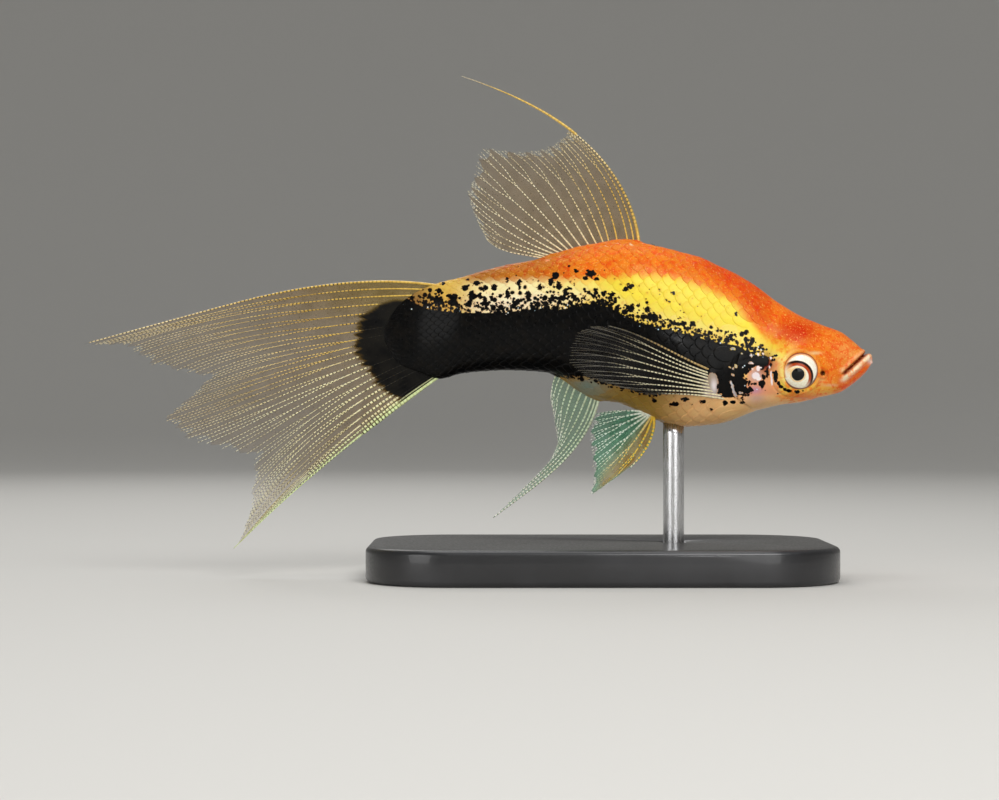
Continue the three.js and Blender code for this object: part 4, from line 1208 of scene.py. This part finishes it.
def lacquer_material(settings):
    lacquer = Shader("black_lacquer", Coat_Weight=0.35, Coat_Roughness=0.08)
    grain, cloud = lacquer.noise(0.35, 4.0), lacquer.noise(9.0)
    deep, pale = ((*(k * tint(settings.base_colour)), 1) for k in (1, 1.9))
    colour = lacquer.mixed(lacquer.ramp(cloud, 0.35, 0.7), deep, pale)
    return lacquer.finish(colour, lacquer.ramp(grain, 0.3, 0.7, (0.3, 0.42)), grain, 0.012, 0.35)


def steel_material():
    steel = Shader("brushed_steel", Metallic=1.0, Anisotropic=0.5)
    stretched = steel.node("Mapping", {0: steel.place, "Scale": (1.0, 1.0, 0.06)}).outputs[0]
    brush = steel.noise(0.1, 4.0, place=stretched)
    colour = steel.mixed(steel.ramp(brush, 0.3, 0.7), (0.5, 0.5, 0.51, 1), (0.72, 0.72, 0.73, 1))
    return steel.finish(colour, steel.ramp(brush, 0.3, 0.7, (0.18, 0.34)), brush, 0.01, 0.4)


def backdrop_material(settings):
    paper = Shader("pale_paper", Specular_IOR_Level=0.2)
    grain = paper.noise(1.2)
    dim, pale = ((*(k * tint(settings.backdrop_colour)), 1) for k in (0.97, 1))
    return paper.finish(paper.mixed(grain, dim, pale), paper.ramp(grain, 0.2, 0.8, (0.7, 0.85)))


# Settings a user would change


def colour_property(name, description, code):
    return bpy.props.FloatVectorProperty(name=name, description=description, subtype="COLOR",
                                         size=3, min=0, max=1, default=tuple(tint(code)))


def share_property(name, description, share):
    return bpy.props.FloatProperty(name=name, description=description, subtype="FACTOR",
                                   default=share, min=0, max=1)


def length_property(name, description, size, low, high):
    return bpy.props.FloatProperty(name=name, description=description, default=size * MM,
                                   min=low * MM, max=high * MM, unit="LENGTH", precision=5)


def group_property(name, description, group):
    return bpy.props.PointerProperty(name=name, description=description, type=group)


class SWORDTAIL_PG_skin(bpy.types.PropertyGroup):
    back_colour: colour_property("Back", "Orange of the back over the trunk", "F5871C")
    flank_colour: colour_property("Flank", "Yellow of the upper flank", "FFE84A")
    gloss: share_property("Gloss", "Weight of the wet coat over the skin", 0.11)
    scale_rise: length_property(
        "Scale rise", "How far a scale's free edge stands off the skin", SCALE_RISE, 0, 0.3)


class SWORDTAIL_PG_fins(bpy.types.PropertyGroup):
    ray_colour: colour_property("Rays", "Golden rays of the dorsal and tail fins", "E2BC55")
    membrane_colour: colour_property("Membrane", "Smoky amber of the clear skin", "8A681C")
    veil: share_property("Veil", "How far the clear skin hides what is behind it", 0.52)
    ray_radius: length_property("Ray radius", "Radius of a ray at its root", 0.13, 0.02, 0.4)


class SWORDTAIL_PG_stand(bpy.types.PropertyGroup):
    base_colour: colour_property("Base", "Black of the lacquered base", "1B1B1D")
    rod_radius: length_property("Rod radius", "Radius of the steel rod", ROD_RADIUS, 0.5, 3)


class SWORDTAIL_PG_stage(bpy.types.PropertyGroup):
    backdrop_colour: colour_property("Backdrop", "Pale floor and backdrop", "D6D4CF")
    key_power: bpy.props.FloatProperty(
        name="Key light", description="Power of the largest soft light", default=1.05,
        min=0, unit="POWER")
    lens: bpy.props.FloatProperty(
        name="Lens", description="Focal length of the camera", default=LENS_MM, min=20, max=300,
        unit="CAMERA")


# Looks of the fins


def layer(cover):
    """Alpha of one of a sheet's two faces, for the cover of both."""
    return 1 - np.sqrt(1 - np.clip(cover, 0, 0.98))


class FinLook:
    """Looks of a fin by point, share of the way out and place: smoky skin and golden rays.

    Each fin's look gives its name, the seed of its draws, its number of rays and of rows of
    faces, how far its foot is sunk into the body, the shares of the way out at which a ray
    splits, how far the sheet's edge is drawn in, its flecks' tone and share, and its joints'
    tone.
    """

    simple = 1  # how many leading rays stay unsplit
    leading, girth = 1.5, 1  # thickness of the first ray and of all rays

    def __init__(self, fins):
        self.fins = fins
        self.skin = membrane_material(f"{self.name}_skin", *self.flecks)
        self.bone = ray_material(f"{self.name}_bone", self.joints)

    def ray_tone(self, points, shares, places):
        return painted(self.fins.ray_colour, ("F3EBCB", 0.6 * grow(0.35, 0.95, shares)))

    def sheet_tone(self, points, shares, places):
        return spread(self.fins.membrane_colour, shares)

    def veil(self, points, shares, places):
        return layer(self.fins.veil * (1.15 - 0.5 * np.clip(shares, 0, 1)))

    def stout(self, points, shares, places):
        return np.ones(shares.shape)


class DorsalLook(FinLook):
    name, seed, rays, rows, sink = "dorsal", 21, 16, 44, 1.2
    splits, leading, scallop = (0.58, 0.84), 1.9, 1.3
    flecks, joints = ((0.03, 0.025, 0.015, 1), 0.25), (0.10, 0.075, 0.03, 1)

    def ray_tone(self, points, shares, places):
        return painted(self.fins.ray_colour, ("F3EBCC", 0.85 * grow(1.5, 4.5, places)),
                       ("F3EBCB", 0.6 * grow(0.35, 0.95, shares)))


class TailLook(FinLook):
    name, seed, rays, rows, sink = "tail", 31, 21, 70, 1
    splits, scallop = (0.36, 0.62), 1.5
    flecks, joints = ((0.022, 0.018, 0.009, 1), 0.3), (0.07, 0.052, 0.02, 1)

    def ray_tone(self, points, shares, places):
        x, _, z = np.moveaxis(points, -1, 0)
        lowest = grow(8.2, 8.9, places)
        return painted(super().ray_tone(points, shares, places),
                       ("FFFBD2", 0.85 * grow(0, 5, 36 - z + 0.55 * (x + 33))),
                       ("DDF3B0", 0.8 * lowest),
                       ("040404", tail_black(points) * (1 - 0.92 * lowest)))

    def sheet_tone(self, points, shares, places):
        x, _, z = np.moveaxis(points, -1, 0)
        return painted(self.fins.membrane_colour,
                       ("8A7236", grow(-48, -30, x) * grow(34, 40, z)),
                       ("040404", tail_black(points)))

    def veil(self, points, shares, places):
        fading = self.fins.veil * (1.2 - 0.85 * np.clip(shares, 0, 1))
        fading = fading + 0.3 * fade(0.8, 2.4, places) * fade(0.2, 0.6, shares)
        black = tail_black(points)
        return layer(fading + (1 - fading) * 0.97 * black) + 0.3 * black

    def stout(self, points, shares, places):
        grown = 1 + 0.8 * grow(4.5, 8, places) * hill(shares - 0.26, 0.2)
        grown = grown * (1 + 0.4 * grow(8.5, 9, places))
        return grown * (1 - 0.75 * tail_black(points) * fade(8.2, 8.9, places))


class AnalLook(FinLook):
    name, seed, rays, rows, sink = "anal", 41, 9, 40, 1.4
    splits, simple, girth, scallop = (0.5, 0.75), 3, 1.15, 0.9
    flecks, joints = ((0.4, 0.62, 0.42, 1), 0.3), (0.22, 0.32, 0.2, 1)

    def ray_tone(self, points, shares, places):
        return painted("E6F2D6", ("FDFDF2", grow(0.3, 0.9, shares)))

    def sheet_tone(self, points, shares, places):
        return spread("5A9264", shares)


class PelvicLook(FinLook):
    name, seed, rays, rows, sink = "pelvic", 51, 7, 30, 1.4
    splits, leading, girth, scallop = (0.35, 0.62), 1.3, 1.35, 0.8
    flecks, joints = ((0.5, 0.78, 0.6, 1), 0.25), (0.1, 0.26, 0.15, 1)

    @staticmethod
    def gilded(base, gold, shares, places):
        cover = fade(1.2, 2.9, places) * fade(0.75, 1, shares)
        return painted(base, (gold, cover))

    def ray_tone(self, points, shares, places):
        return self.gilded("F8FFF4", "F6CC3C", shares, places)

    def sheet_tone(self, points, shares, places):
        return self.gilded("35805A", "96701C", shares, places)

    def veil(self, points, shares, places):
        return layer(0.84 - 0.1 * np.clip(shares, 0, 1))


class PectoralLook(FinLook):
    name, seed, rays, rows, sink = "pectoral", 61, 9, 44, 2.4
    splits, leading, scallop = (0.5, 0.75), 1.4, 0.9
    flecks, joints = ((0.004, 0.004, 0.004, 1), 0.2), (0.05, 0.045, 0.035, 1)

    def ray_tone(self, points, shares, places):
        return painted("EFE6C4", ("B89248", 0.8 * fade(0, 0.6, places)),
                       ("4E4836", grow(0.4, 0.8, shares)))

    def sheet_tone(self, points, shares, places):
        return painted("14110E", ("D9C4BC", fade(-0.02, 0.1, shares)))

    def veil(self, points, shares, places):
        return layer(0.9 - 0.35 * grow(0.3, 1, shares))


# Pieces


def make_skin(settings, material):
    rings = skin_grid()[0]
    points, faces = capped(rings, rings[0].mean(0), rings[-1].mean(0))
    ring, share = np.divmod(np.arange(len(points) - 2), RING_POINTS)
    uv = np.stack([ring / (len(rings) - 1), share / RING_POINTS], 1)
    made = make_object("skin", points, faces, material, np.vstack([uv, [(0, 0.5), (1, 0.5)]]),
                       rim=np.zeros(len(points)), shade=np.full(len(points), 0.4),
                       **skin_fields(points, settings))
    finish_piece(made, "golden_skin", "head", "lower_jaw", "gill_cover_right",
                 "gill_cover_left", "trunk", "tail_stalk")


def iris_colour(u, w):
    """The eye's colours by place from its middle: u towards the snout, w up."""
    pupil, r, ball = apart(u, w, *PUPIL), apart(u, w, *IRIS), np.hypot(u, w)
    angle = np.degrees(np.arctan2(w - IRIS[1], u - IRIS[0]))
    arc = np.exp(-(((angle - 50) / 82) ** 6))
    crescent = np.exp(-(((angle - 48) / 84) ** 6))
    tone = painted(
        "FFFBE6",
        ("F8BE58", 0.7 * hill(apart(u, w, -1.75, 0.4, 0.5, 0.8), 1)),
        ("E58A30", grow(2.2, 2.4, r)),
        ("FFFDF0", crescent * grow(2.4, 2.5, r)),
        ("B4440E", 1.1 * arc * window(1.66, 1.8, 2.28, 2.36, r)),
        ("0A0403", 1.1 * arc * window(2.0, 2.24, 2.4, 2.5, r)),
        ("F6C266", 0.7 * hill(pupil - 1.02, 0.1)),
        ("010102", fade(0.88, 0.94, pupil)),
        ("E89A44", 0.8 * grow(2.2, 2.34, ball) * grow(0, 40, angle)),
        ("2C0C06", 0.9 * hill(ball - 2.36, 0.09) * hill(angle + 5, 28)),
        ("8A3212", 0.9 * grow(2.38, 2.48, ball)))
    return tone, grow(0.9, 0.96, pupil)


def make_eye(name, side, material):
    """A flattened ball turned to face out of the head, on the right where side is -1."""
    rings, sides = EYE_GRID
    tilt, angle = np.linspace(0, EYE_TILT, rings)[:, None], around(sides)[None]
    u = EYE_RADIUS * np.sin(tilt) * np.cos(angle)
    w = EYE_RADIUS * np.sin(tilt) * np.sin(angle)
    bulge = LENS_BULGE * hill(apart(u, w, *PUPIL), LENS_WIDTH)
    out = EYE_RADIUS * EYE_FLATNESS * np.cos(tilt) + bulge
    wider = np.where(np.cos(tilt) > 0, 1, 3)  # the hidden back takes the dark rim's tone
    tone, silver = iris_colour(wider * u, wider * w)
    x, z = on_flank(*EYE)
    step = 0.4  # over which the flank's slope is measured
    slope_x, slope_z = ((plain_depth(x + dx, z + dz) - plain_depth(x - dx, z - dz)) / 2 / step
                        for dx, dz in ((step, 0), (0, step)))
    axis = unit(np.array([-slope_x, side, -slope_z]))
    turn = Vector((0, side, 0)).rotation_difference(Vector(axis)).to_matrix()
    centre = np.array([x, side * plain_depth(x, z), z]) - axis * EYE_SUNK
    local = np.stack([u, side * out, w], -1).reshape(-1, 3)
    made = make_object(name, local @ np.array(turn).T + centre,
                       grid_faces(rings, sides, True)[:, ::side], material,
                       tone=tone.reshape(-1, 3), silver=silver.reshape(-1))
    finish_piece(made, "eye", name)


def make_fin(name, guides, depth, look, slot, *nodes):
    """A fin's sheet, which stands for its nodes, and its rays."""
    rng, fan = np.random.default_rng(look.seed), Fan(guides, depth, look.sink)
    sheet, rays = Heap(), Heap()
    add_membrane(sheet, fan, look, rng)
    spacing = (len(guides) - 1) / look.rays
    for number in range(look.rays + 1):
        splits = look.splits if number >= look.simple else None
        radius = look.fins.ray_radius / MM * look.girth * (1 if number else look.leading)
        add_ray(rays, fan, number * spacing, spacing, splits, radius, look, rng)
    finish_piece(sheet.make(f"{name}_membrane", look.skin), slot, *nodes)
    finish_piece(rays.make(f"{name}_rays", look.bone), slot)


def make_pair(look, guides, root, left_changes, right_depth, left_depth):
    """Both fins of a pair, where the left one's guide rays are turned about the root."""
    left = [turned(guide, root, **left_changes) for guide in guides]
    for side, rays, depth in (("right", guides, right_depth), ("left", left, left_depth)):
        make_fin(f"{look.name}_{side}", rays, depth, look, "fin_membrane",
                 f"{look.name}_fin_{side}")


def make_streamer(fins, material):
    """The long free end of the dorsal fin's first ray."""
    start = DORSAL_STREAMER_FREE - 0.03  # a little inside the fin
    shares = np.linspace(start, 1, STREAMER_RINGS)
    points = Fan([DORSAL_STREAMER, DORSAL_STREAMER], dorsal_depth, 0).at(0, shares)
    radii = fins.ray_radius / MM * STREAMER_GIRTH * (1 - STREAMER_TAPER * grow(start, 1, shares))
    tone = painted(fins.ray_colour, ("B9B09A", grow(0.8, 1, shares)))
    made = make_object("dorsal_streamer_thread", *tube(points, radii), material,
                       **ray_fields(tone, shares * DORSAL_STREAMER[2],
                                    np.full(STREAMER_RINGS, STREAMER_REACH)))
    finish_piece(made, "fin_membrane", "dorsal_streamer")


# Operators


class SWORDTAIL_OT_skin(bpy.types.Operator):
    """Build the continuous skin of head and body and the overlapping scales on it"""
    bl_idname = "swordtail.skin"
    bl_label = "Skin and Scales"
    bl_options = {"REGISTER", "UNDO"}

    def execute(self, context):
        skin = context.scene.swordtail.skin
        material = skin_material(skin)
        make_skin(skin, material)
        make_scales("scales_right", -1, skin, material)
        make_scales("scales_left", 1, skin, material)
        return {"FINISHED"}


class SWORDTAIL_OT_eyes(bpy.types.Operator):
    """Build both eyes in their sockets"""
    bl_idname = "swordtail.eyes"
    bl_label = "Eyes"
    bl_options = {"REGISTER", "UNDO"}

    def execute(self, context):
        material = eye_material()
        make_eye("eye_right", -1, material)
        make_eye("eye_left", 1, material)
        return {"FINISHED"}


class SWORDTAIL_OT_dorsal_fin(bpy.types.Operator):
    """Build the dorsal fin with its long free first ray"""
    bl_idname = "swordtail.dorsal_fin"
    bl_label = "Dorsal Fin"
    bl_options = {"REGISTER", "UNDO"}

    def execute(self, context):
        fins = context.scene.swordtail.fins
        look = DorsalLook(fins)
        guides = [first_part(DORSAL_STREAMER, DORSAL_STREAMER_FREE), *DORSAL_RAYS]
        make_fin("dorsal", guides, dorsal_depth, look, "fin_membrane", "dorsal_fin")
        make_streamer(fins, look.bone)
        return {"FINISHED"}


class SWORDTAIL_OT_tail_fin(bpy.types.Operator):
    """Build the lyre-shaped tail fin with its black root"""
    bl_idname = "swordtail.tail_fin"
    bl_label = "Tail Fin"
    bl_options = {"REGISTER", "UNDO"}

    def execute(self, context):
        look = TailLook(context.scene.swordtail.fins)
        make_fin("tail", CAUDAL_RAYS, caudal_depth, look, "tail_membrane",
                 "caudal_fin_upper", "caudal_fin_middle", "caudal_fin_lower")
        return {"FINISHED"}


class SWORDTAIL_OT_anal_fin(bpy.types.Operator):
    """Build the anal fin with its long leading rays"""
    bl_idname = "swordtail.anal_fin"
    bl_label = "Anal Fin"
    bl_options = {"REGISTER", "UNDO"}

    def execute(self, context):
        look = AnalLook(context.scene.swordtail.fins)
        make_fin("anal", ANAL_RAYS, anal_depth, look, "fin_membrane", "anal_fin")
        return {"FINISHED"}


class SWORDTAIL_OT_pelvic_fins(bpy.types.Operator):
    """Build both pelvic fins with their pearly rays"""
    bl_idname = "swordtail.pelvic_fins"
    bl_label = "Pelvic Fins"
    bl_options = {"REGISTER", "UNDO"}

    def execute(self, context):
        look = PelvicLook(context.scene.swordtail.fins)
        make_pair(look, PELVIC_RAYS, PELVIC_ROOT, LEFT_PELVIC, right_pelvic_depth,
                  left_pelvic_depth)
        return {"FINISHED"}


class SWORDTAIL_OT_pectoral_fins(bpy.types.Operator):
    """Build both pectoral fins, smoky black with pale rays"""
    bl_idname = "swordtail.pectoral_fins"
    bl_label = "Pectoral Fins"
    bl_options = {"REGISTER", "UNDO"}

    def execute(self, context):
        look = PectoralLook(context.scene.swordtail.fins)
        make_pair(look, PECTORAL_RAYS, PECTORAL_ROOT, LEFT_PECTORAL, right_pectoral_depth,
                  left_pectoral_depth)
        return {"FINISHED"}


class SWORDTAIL_OT_stand(bpy.types.Operator):
    """Build the lacquered base with its drilled socket, and the steel rod"""
    bl_idname = "swordtail.stand"
    bl_label = "Display Stand"
    bl_options = {"REGISTER", "UNDO"}

    def execute(self, context):
        stand = context.scene.swordtail.stand
        self.base(stand)
        self.rod(stand)
        return {"FINISHED"}

    def base(self, stand):
        height, floor, fillet = BASE["height"], BASE["height"] - SOCKET_DEPTH, BASE_FILLET
        turns = np.linspace(0, math.pi / 2, 7)
        profile = [(fillet * (1 - math.sin(t)), fillet * (1 - math.cos(t))) for t in turns]
        profile += [(fillet * (1 - math.cos(t)), height - fillet * (1 - math.sin(t)))
                    for t in turns]
        angles = around(BASE_SIDES, 0.5)
        out = np.stack([np.cos(angles), np.sin(angles), np.zeros(BASE_SIDES)], 1)
        corner = BASE["corner"]
        middles = np.sign(out) * [BASE["length"] / 2 - corner, BASE["width"] / 2 - corner, 0]
        rings = [middles + out * (corner - inset) + [0, 0, z] for inset, z in profile]
        lip = stand.rod_radius / MM + SOCKET_GAP
        rings += [out * radius + [ROD_X, 0, z] for radius, z in
                  ((lip + SOCKET_BEVEL, height), (lip, height - SOCKET_BEVEL), (lip, floor))]
        made = make_object("base_plate", *capped(rings, (0, 0, 0), (ROD_X, 0, floor)),
                           lacquer_material(stand))
        finish_piece(made, "stand_black", "stand_base")

    def rod(self, stand):
        foot = BASE["height"] - SOCKET_DEPTH + ROD_FOOT_GAP
        radius, angles = stand.rod_radius / MM, around(ROD_SIDES)
        x, y = ROD_X + radius * np.cos(angles), radius * np.sin(angles)
        top = table_at(BODY, x)[:, 2] + 0.12 * y ** 2 + ROD_SUNK
        rings = [np.stack([x, y, foot + (top - foot) * share], 1)
                 for share in np.linspace(0, 1, ROD_RINGS)]
        last = (ROD_X, 0, table_at(BODY, ROD_X)[2] + ROD_SUNK)
        made = make_object("support_rod", *capped(rings, (ROD_X, 0, foot), last),
                           steel_material())
        finish_piece(made, "stand_steel", "stand_rod")


class SWORDTAIL_OT_stage(bpy.types.Operator):
    """Build the pale floor and backdrop, the soft lights and the camera"""
    bl_idname = "swordtail.stage"
    bl_label = "Stage, Lights and Camera"
    bl_options = {"REGISTER", "UNDO"}

    def execute(self, context):
        stage = context.scene.swordtail.stage
        self.backdrop(stage)
        for light in LIGHTS:
            self.light(*light, stage.key_power)
        world = bpy.data.worlds.new("soft_room")
        world.use_nodes = True
        background = world.node_tree.nodes["Background"]
        background.inputs[0].default_value = ROOM_COLOUR
        background.inputs[1].default_value = ROOM_STRENGTH
        bpy.context.scene.world = world
        bpy.context.scene.view_settings.view_transform = "Standard"
        self.camera(stage)
        return {"FINISHED"}

    def backdrop(self, stage):
        """A wide floor that curves up into a wall all round."""
        floor, radius, top, below = 560, 560, 1100, -0.02
        profile = [(60, 0), (320, 0)] + [(floor + radius * math.sin(t), radius * (1 - math.cos(t)))
                                         for t in np.linspace(0, math.pi / 2, 17)]
        profile += [(floor + radius, top)]
        angles = -around(BACKDROP_SIDES)  # clockwise, so that its faces look inwards
        level_ring = np.stack([np.cos(angles), np.sin(angles), 0 * angles], 1)
        rings = [r * level_ring + [0, 0, z + below] for r, z in profile]
        make_object("backdrop", *capped(rings, (0, 0, below)), backdrop_material(stage))

    def light(self, name, place, target, size, share, power):
        lamp = bpy.data.lights.new(name, "AREA")
        lamp.shape, lamp.size, lamp.energy = "DISK", size * MM, share * power
        made = link(bpy.data.objects.new(name, lamp))
        made.location = Vector(place) * MM
        aim = Vector(target) * MM - made.location
        made.rotation_euler = aim.to_track_quat("-Z", "Y").to_euler()

    def camera(self, stage):
        data = bpy.data.cameras.new("camera")
        data.lens, data.sensor_width = stage.lens, SENSOR_MM
        data.clip_start, data.clip_end = 0.01, 10
        made = link(bpy.data.objects.new("camera", data))
        distance = CAMERA_DISTANCE * stage.lens / LENS_MM
        made.location = Vector((CAMERA_X, -distance, CAMERA_Z)) * MM
        made.rotation_euler = (math.pi / 2, 0, 0)
        bpy.context.scene.camera = made


OPERATORS = (
    SWORDTAIL_OT_skin, SWORDTAIL_OT_eyes, SWORDTAIL_OT_dorsal_fin, SWORDTAIL_OT_tail_fin,
    SWORDTAIL_OT_anal_fin, SWORDTAIL_OT_pelvic_fins, SWORDTAIL_OT_pectoral_fins,
    SWORDTAIL_OT_stand, SWORDTAIL_OT_stage,
)


class SWORDTAIL_PG_model(bpy.types.PropertyGroup):
    skin: group_property("Skin", "Colours, gloss and scales of the body", SWORDTAIL_PG_skin)
    fins: group_property("Fins", "Rays and clear skin of all fins", SWORDTAIL_PG_fins)
    stand: group_property("Stand", "Base and rod that hold the fish", SWORDTAIL_PG_stand)
    stage: group_property("Stage", "Backdrop, light and camera", SWORDTAIL_PG_stage)


class SWORDTAIL_PT_panel(bpy.types.Panel):
    bl_label = "Swordtail"
    bl_idname = "SWORDTAIL_PT_panel"
    bl_space_type = "VIEW_3D"
    bl_region_type = "UI"
    bl_category = "Swordtail"

    def draw(self, context):
        settings = context.scene.swordtail
        for group in (settings.skin, settings.fins, settings.stand, settings.stage):
            box = self.layout.box()
            for key in group.__annotations__:
                box.prop(group, key)
        for operator in OPERATORS:
            self.layout.operator(operator.bl_idname)


CLASSES = (SWORDTAIL_PG_skin, SWORDTAIL_PG_fins, SWORDTAIL_PG_stand, SWORDTAIL_PG_stage,
           SWORDTAIL_PG_model, *OPERATORS, SWORDTAIL_PT_panel)


def register():
    for made in CLASSES:
        bpy.utils.register_class(made)
    bpy.types.Scene.swordtail = group_property(
        "Swordtail", "Settings of the swordtail model", SWORDTAIL_PG_model)


def unregister():
    del bpy.types.Scene.swordtail
    for made in reversed(CLASSES):
        bpy.utils.unregister_class(made)


def main():
    register()
    for operator in OPERATORS:
        getattr(bpy.ops.swordtail, operator.bl_idname.split(".")[1])()


if __name__ == "__main__":
    main()
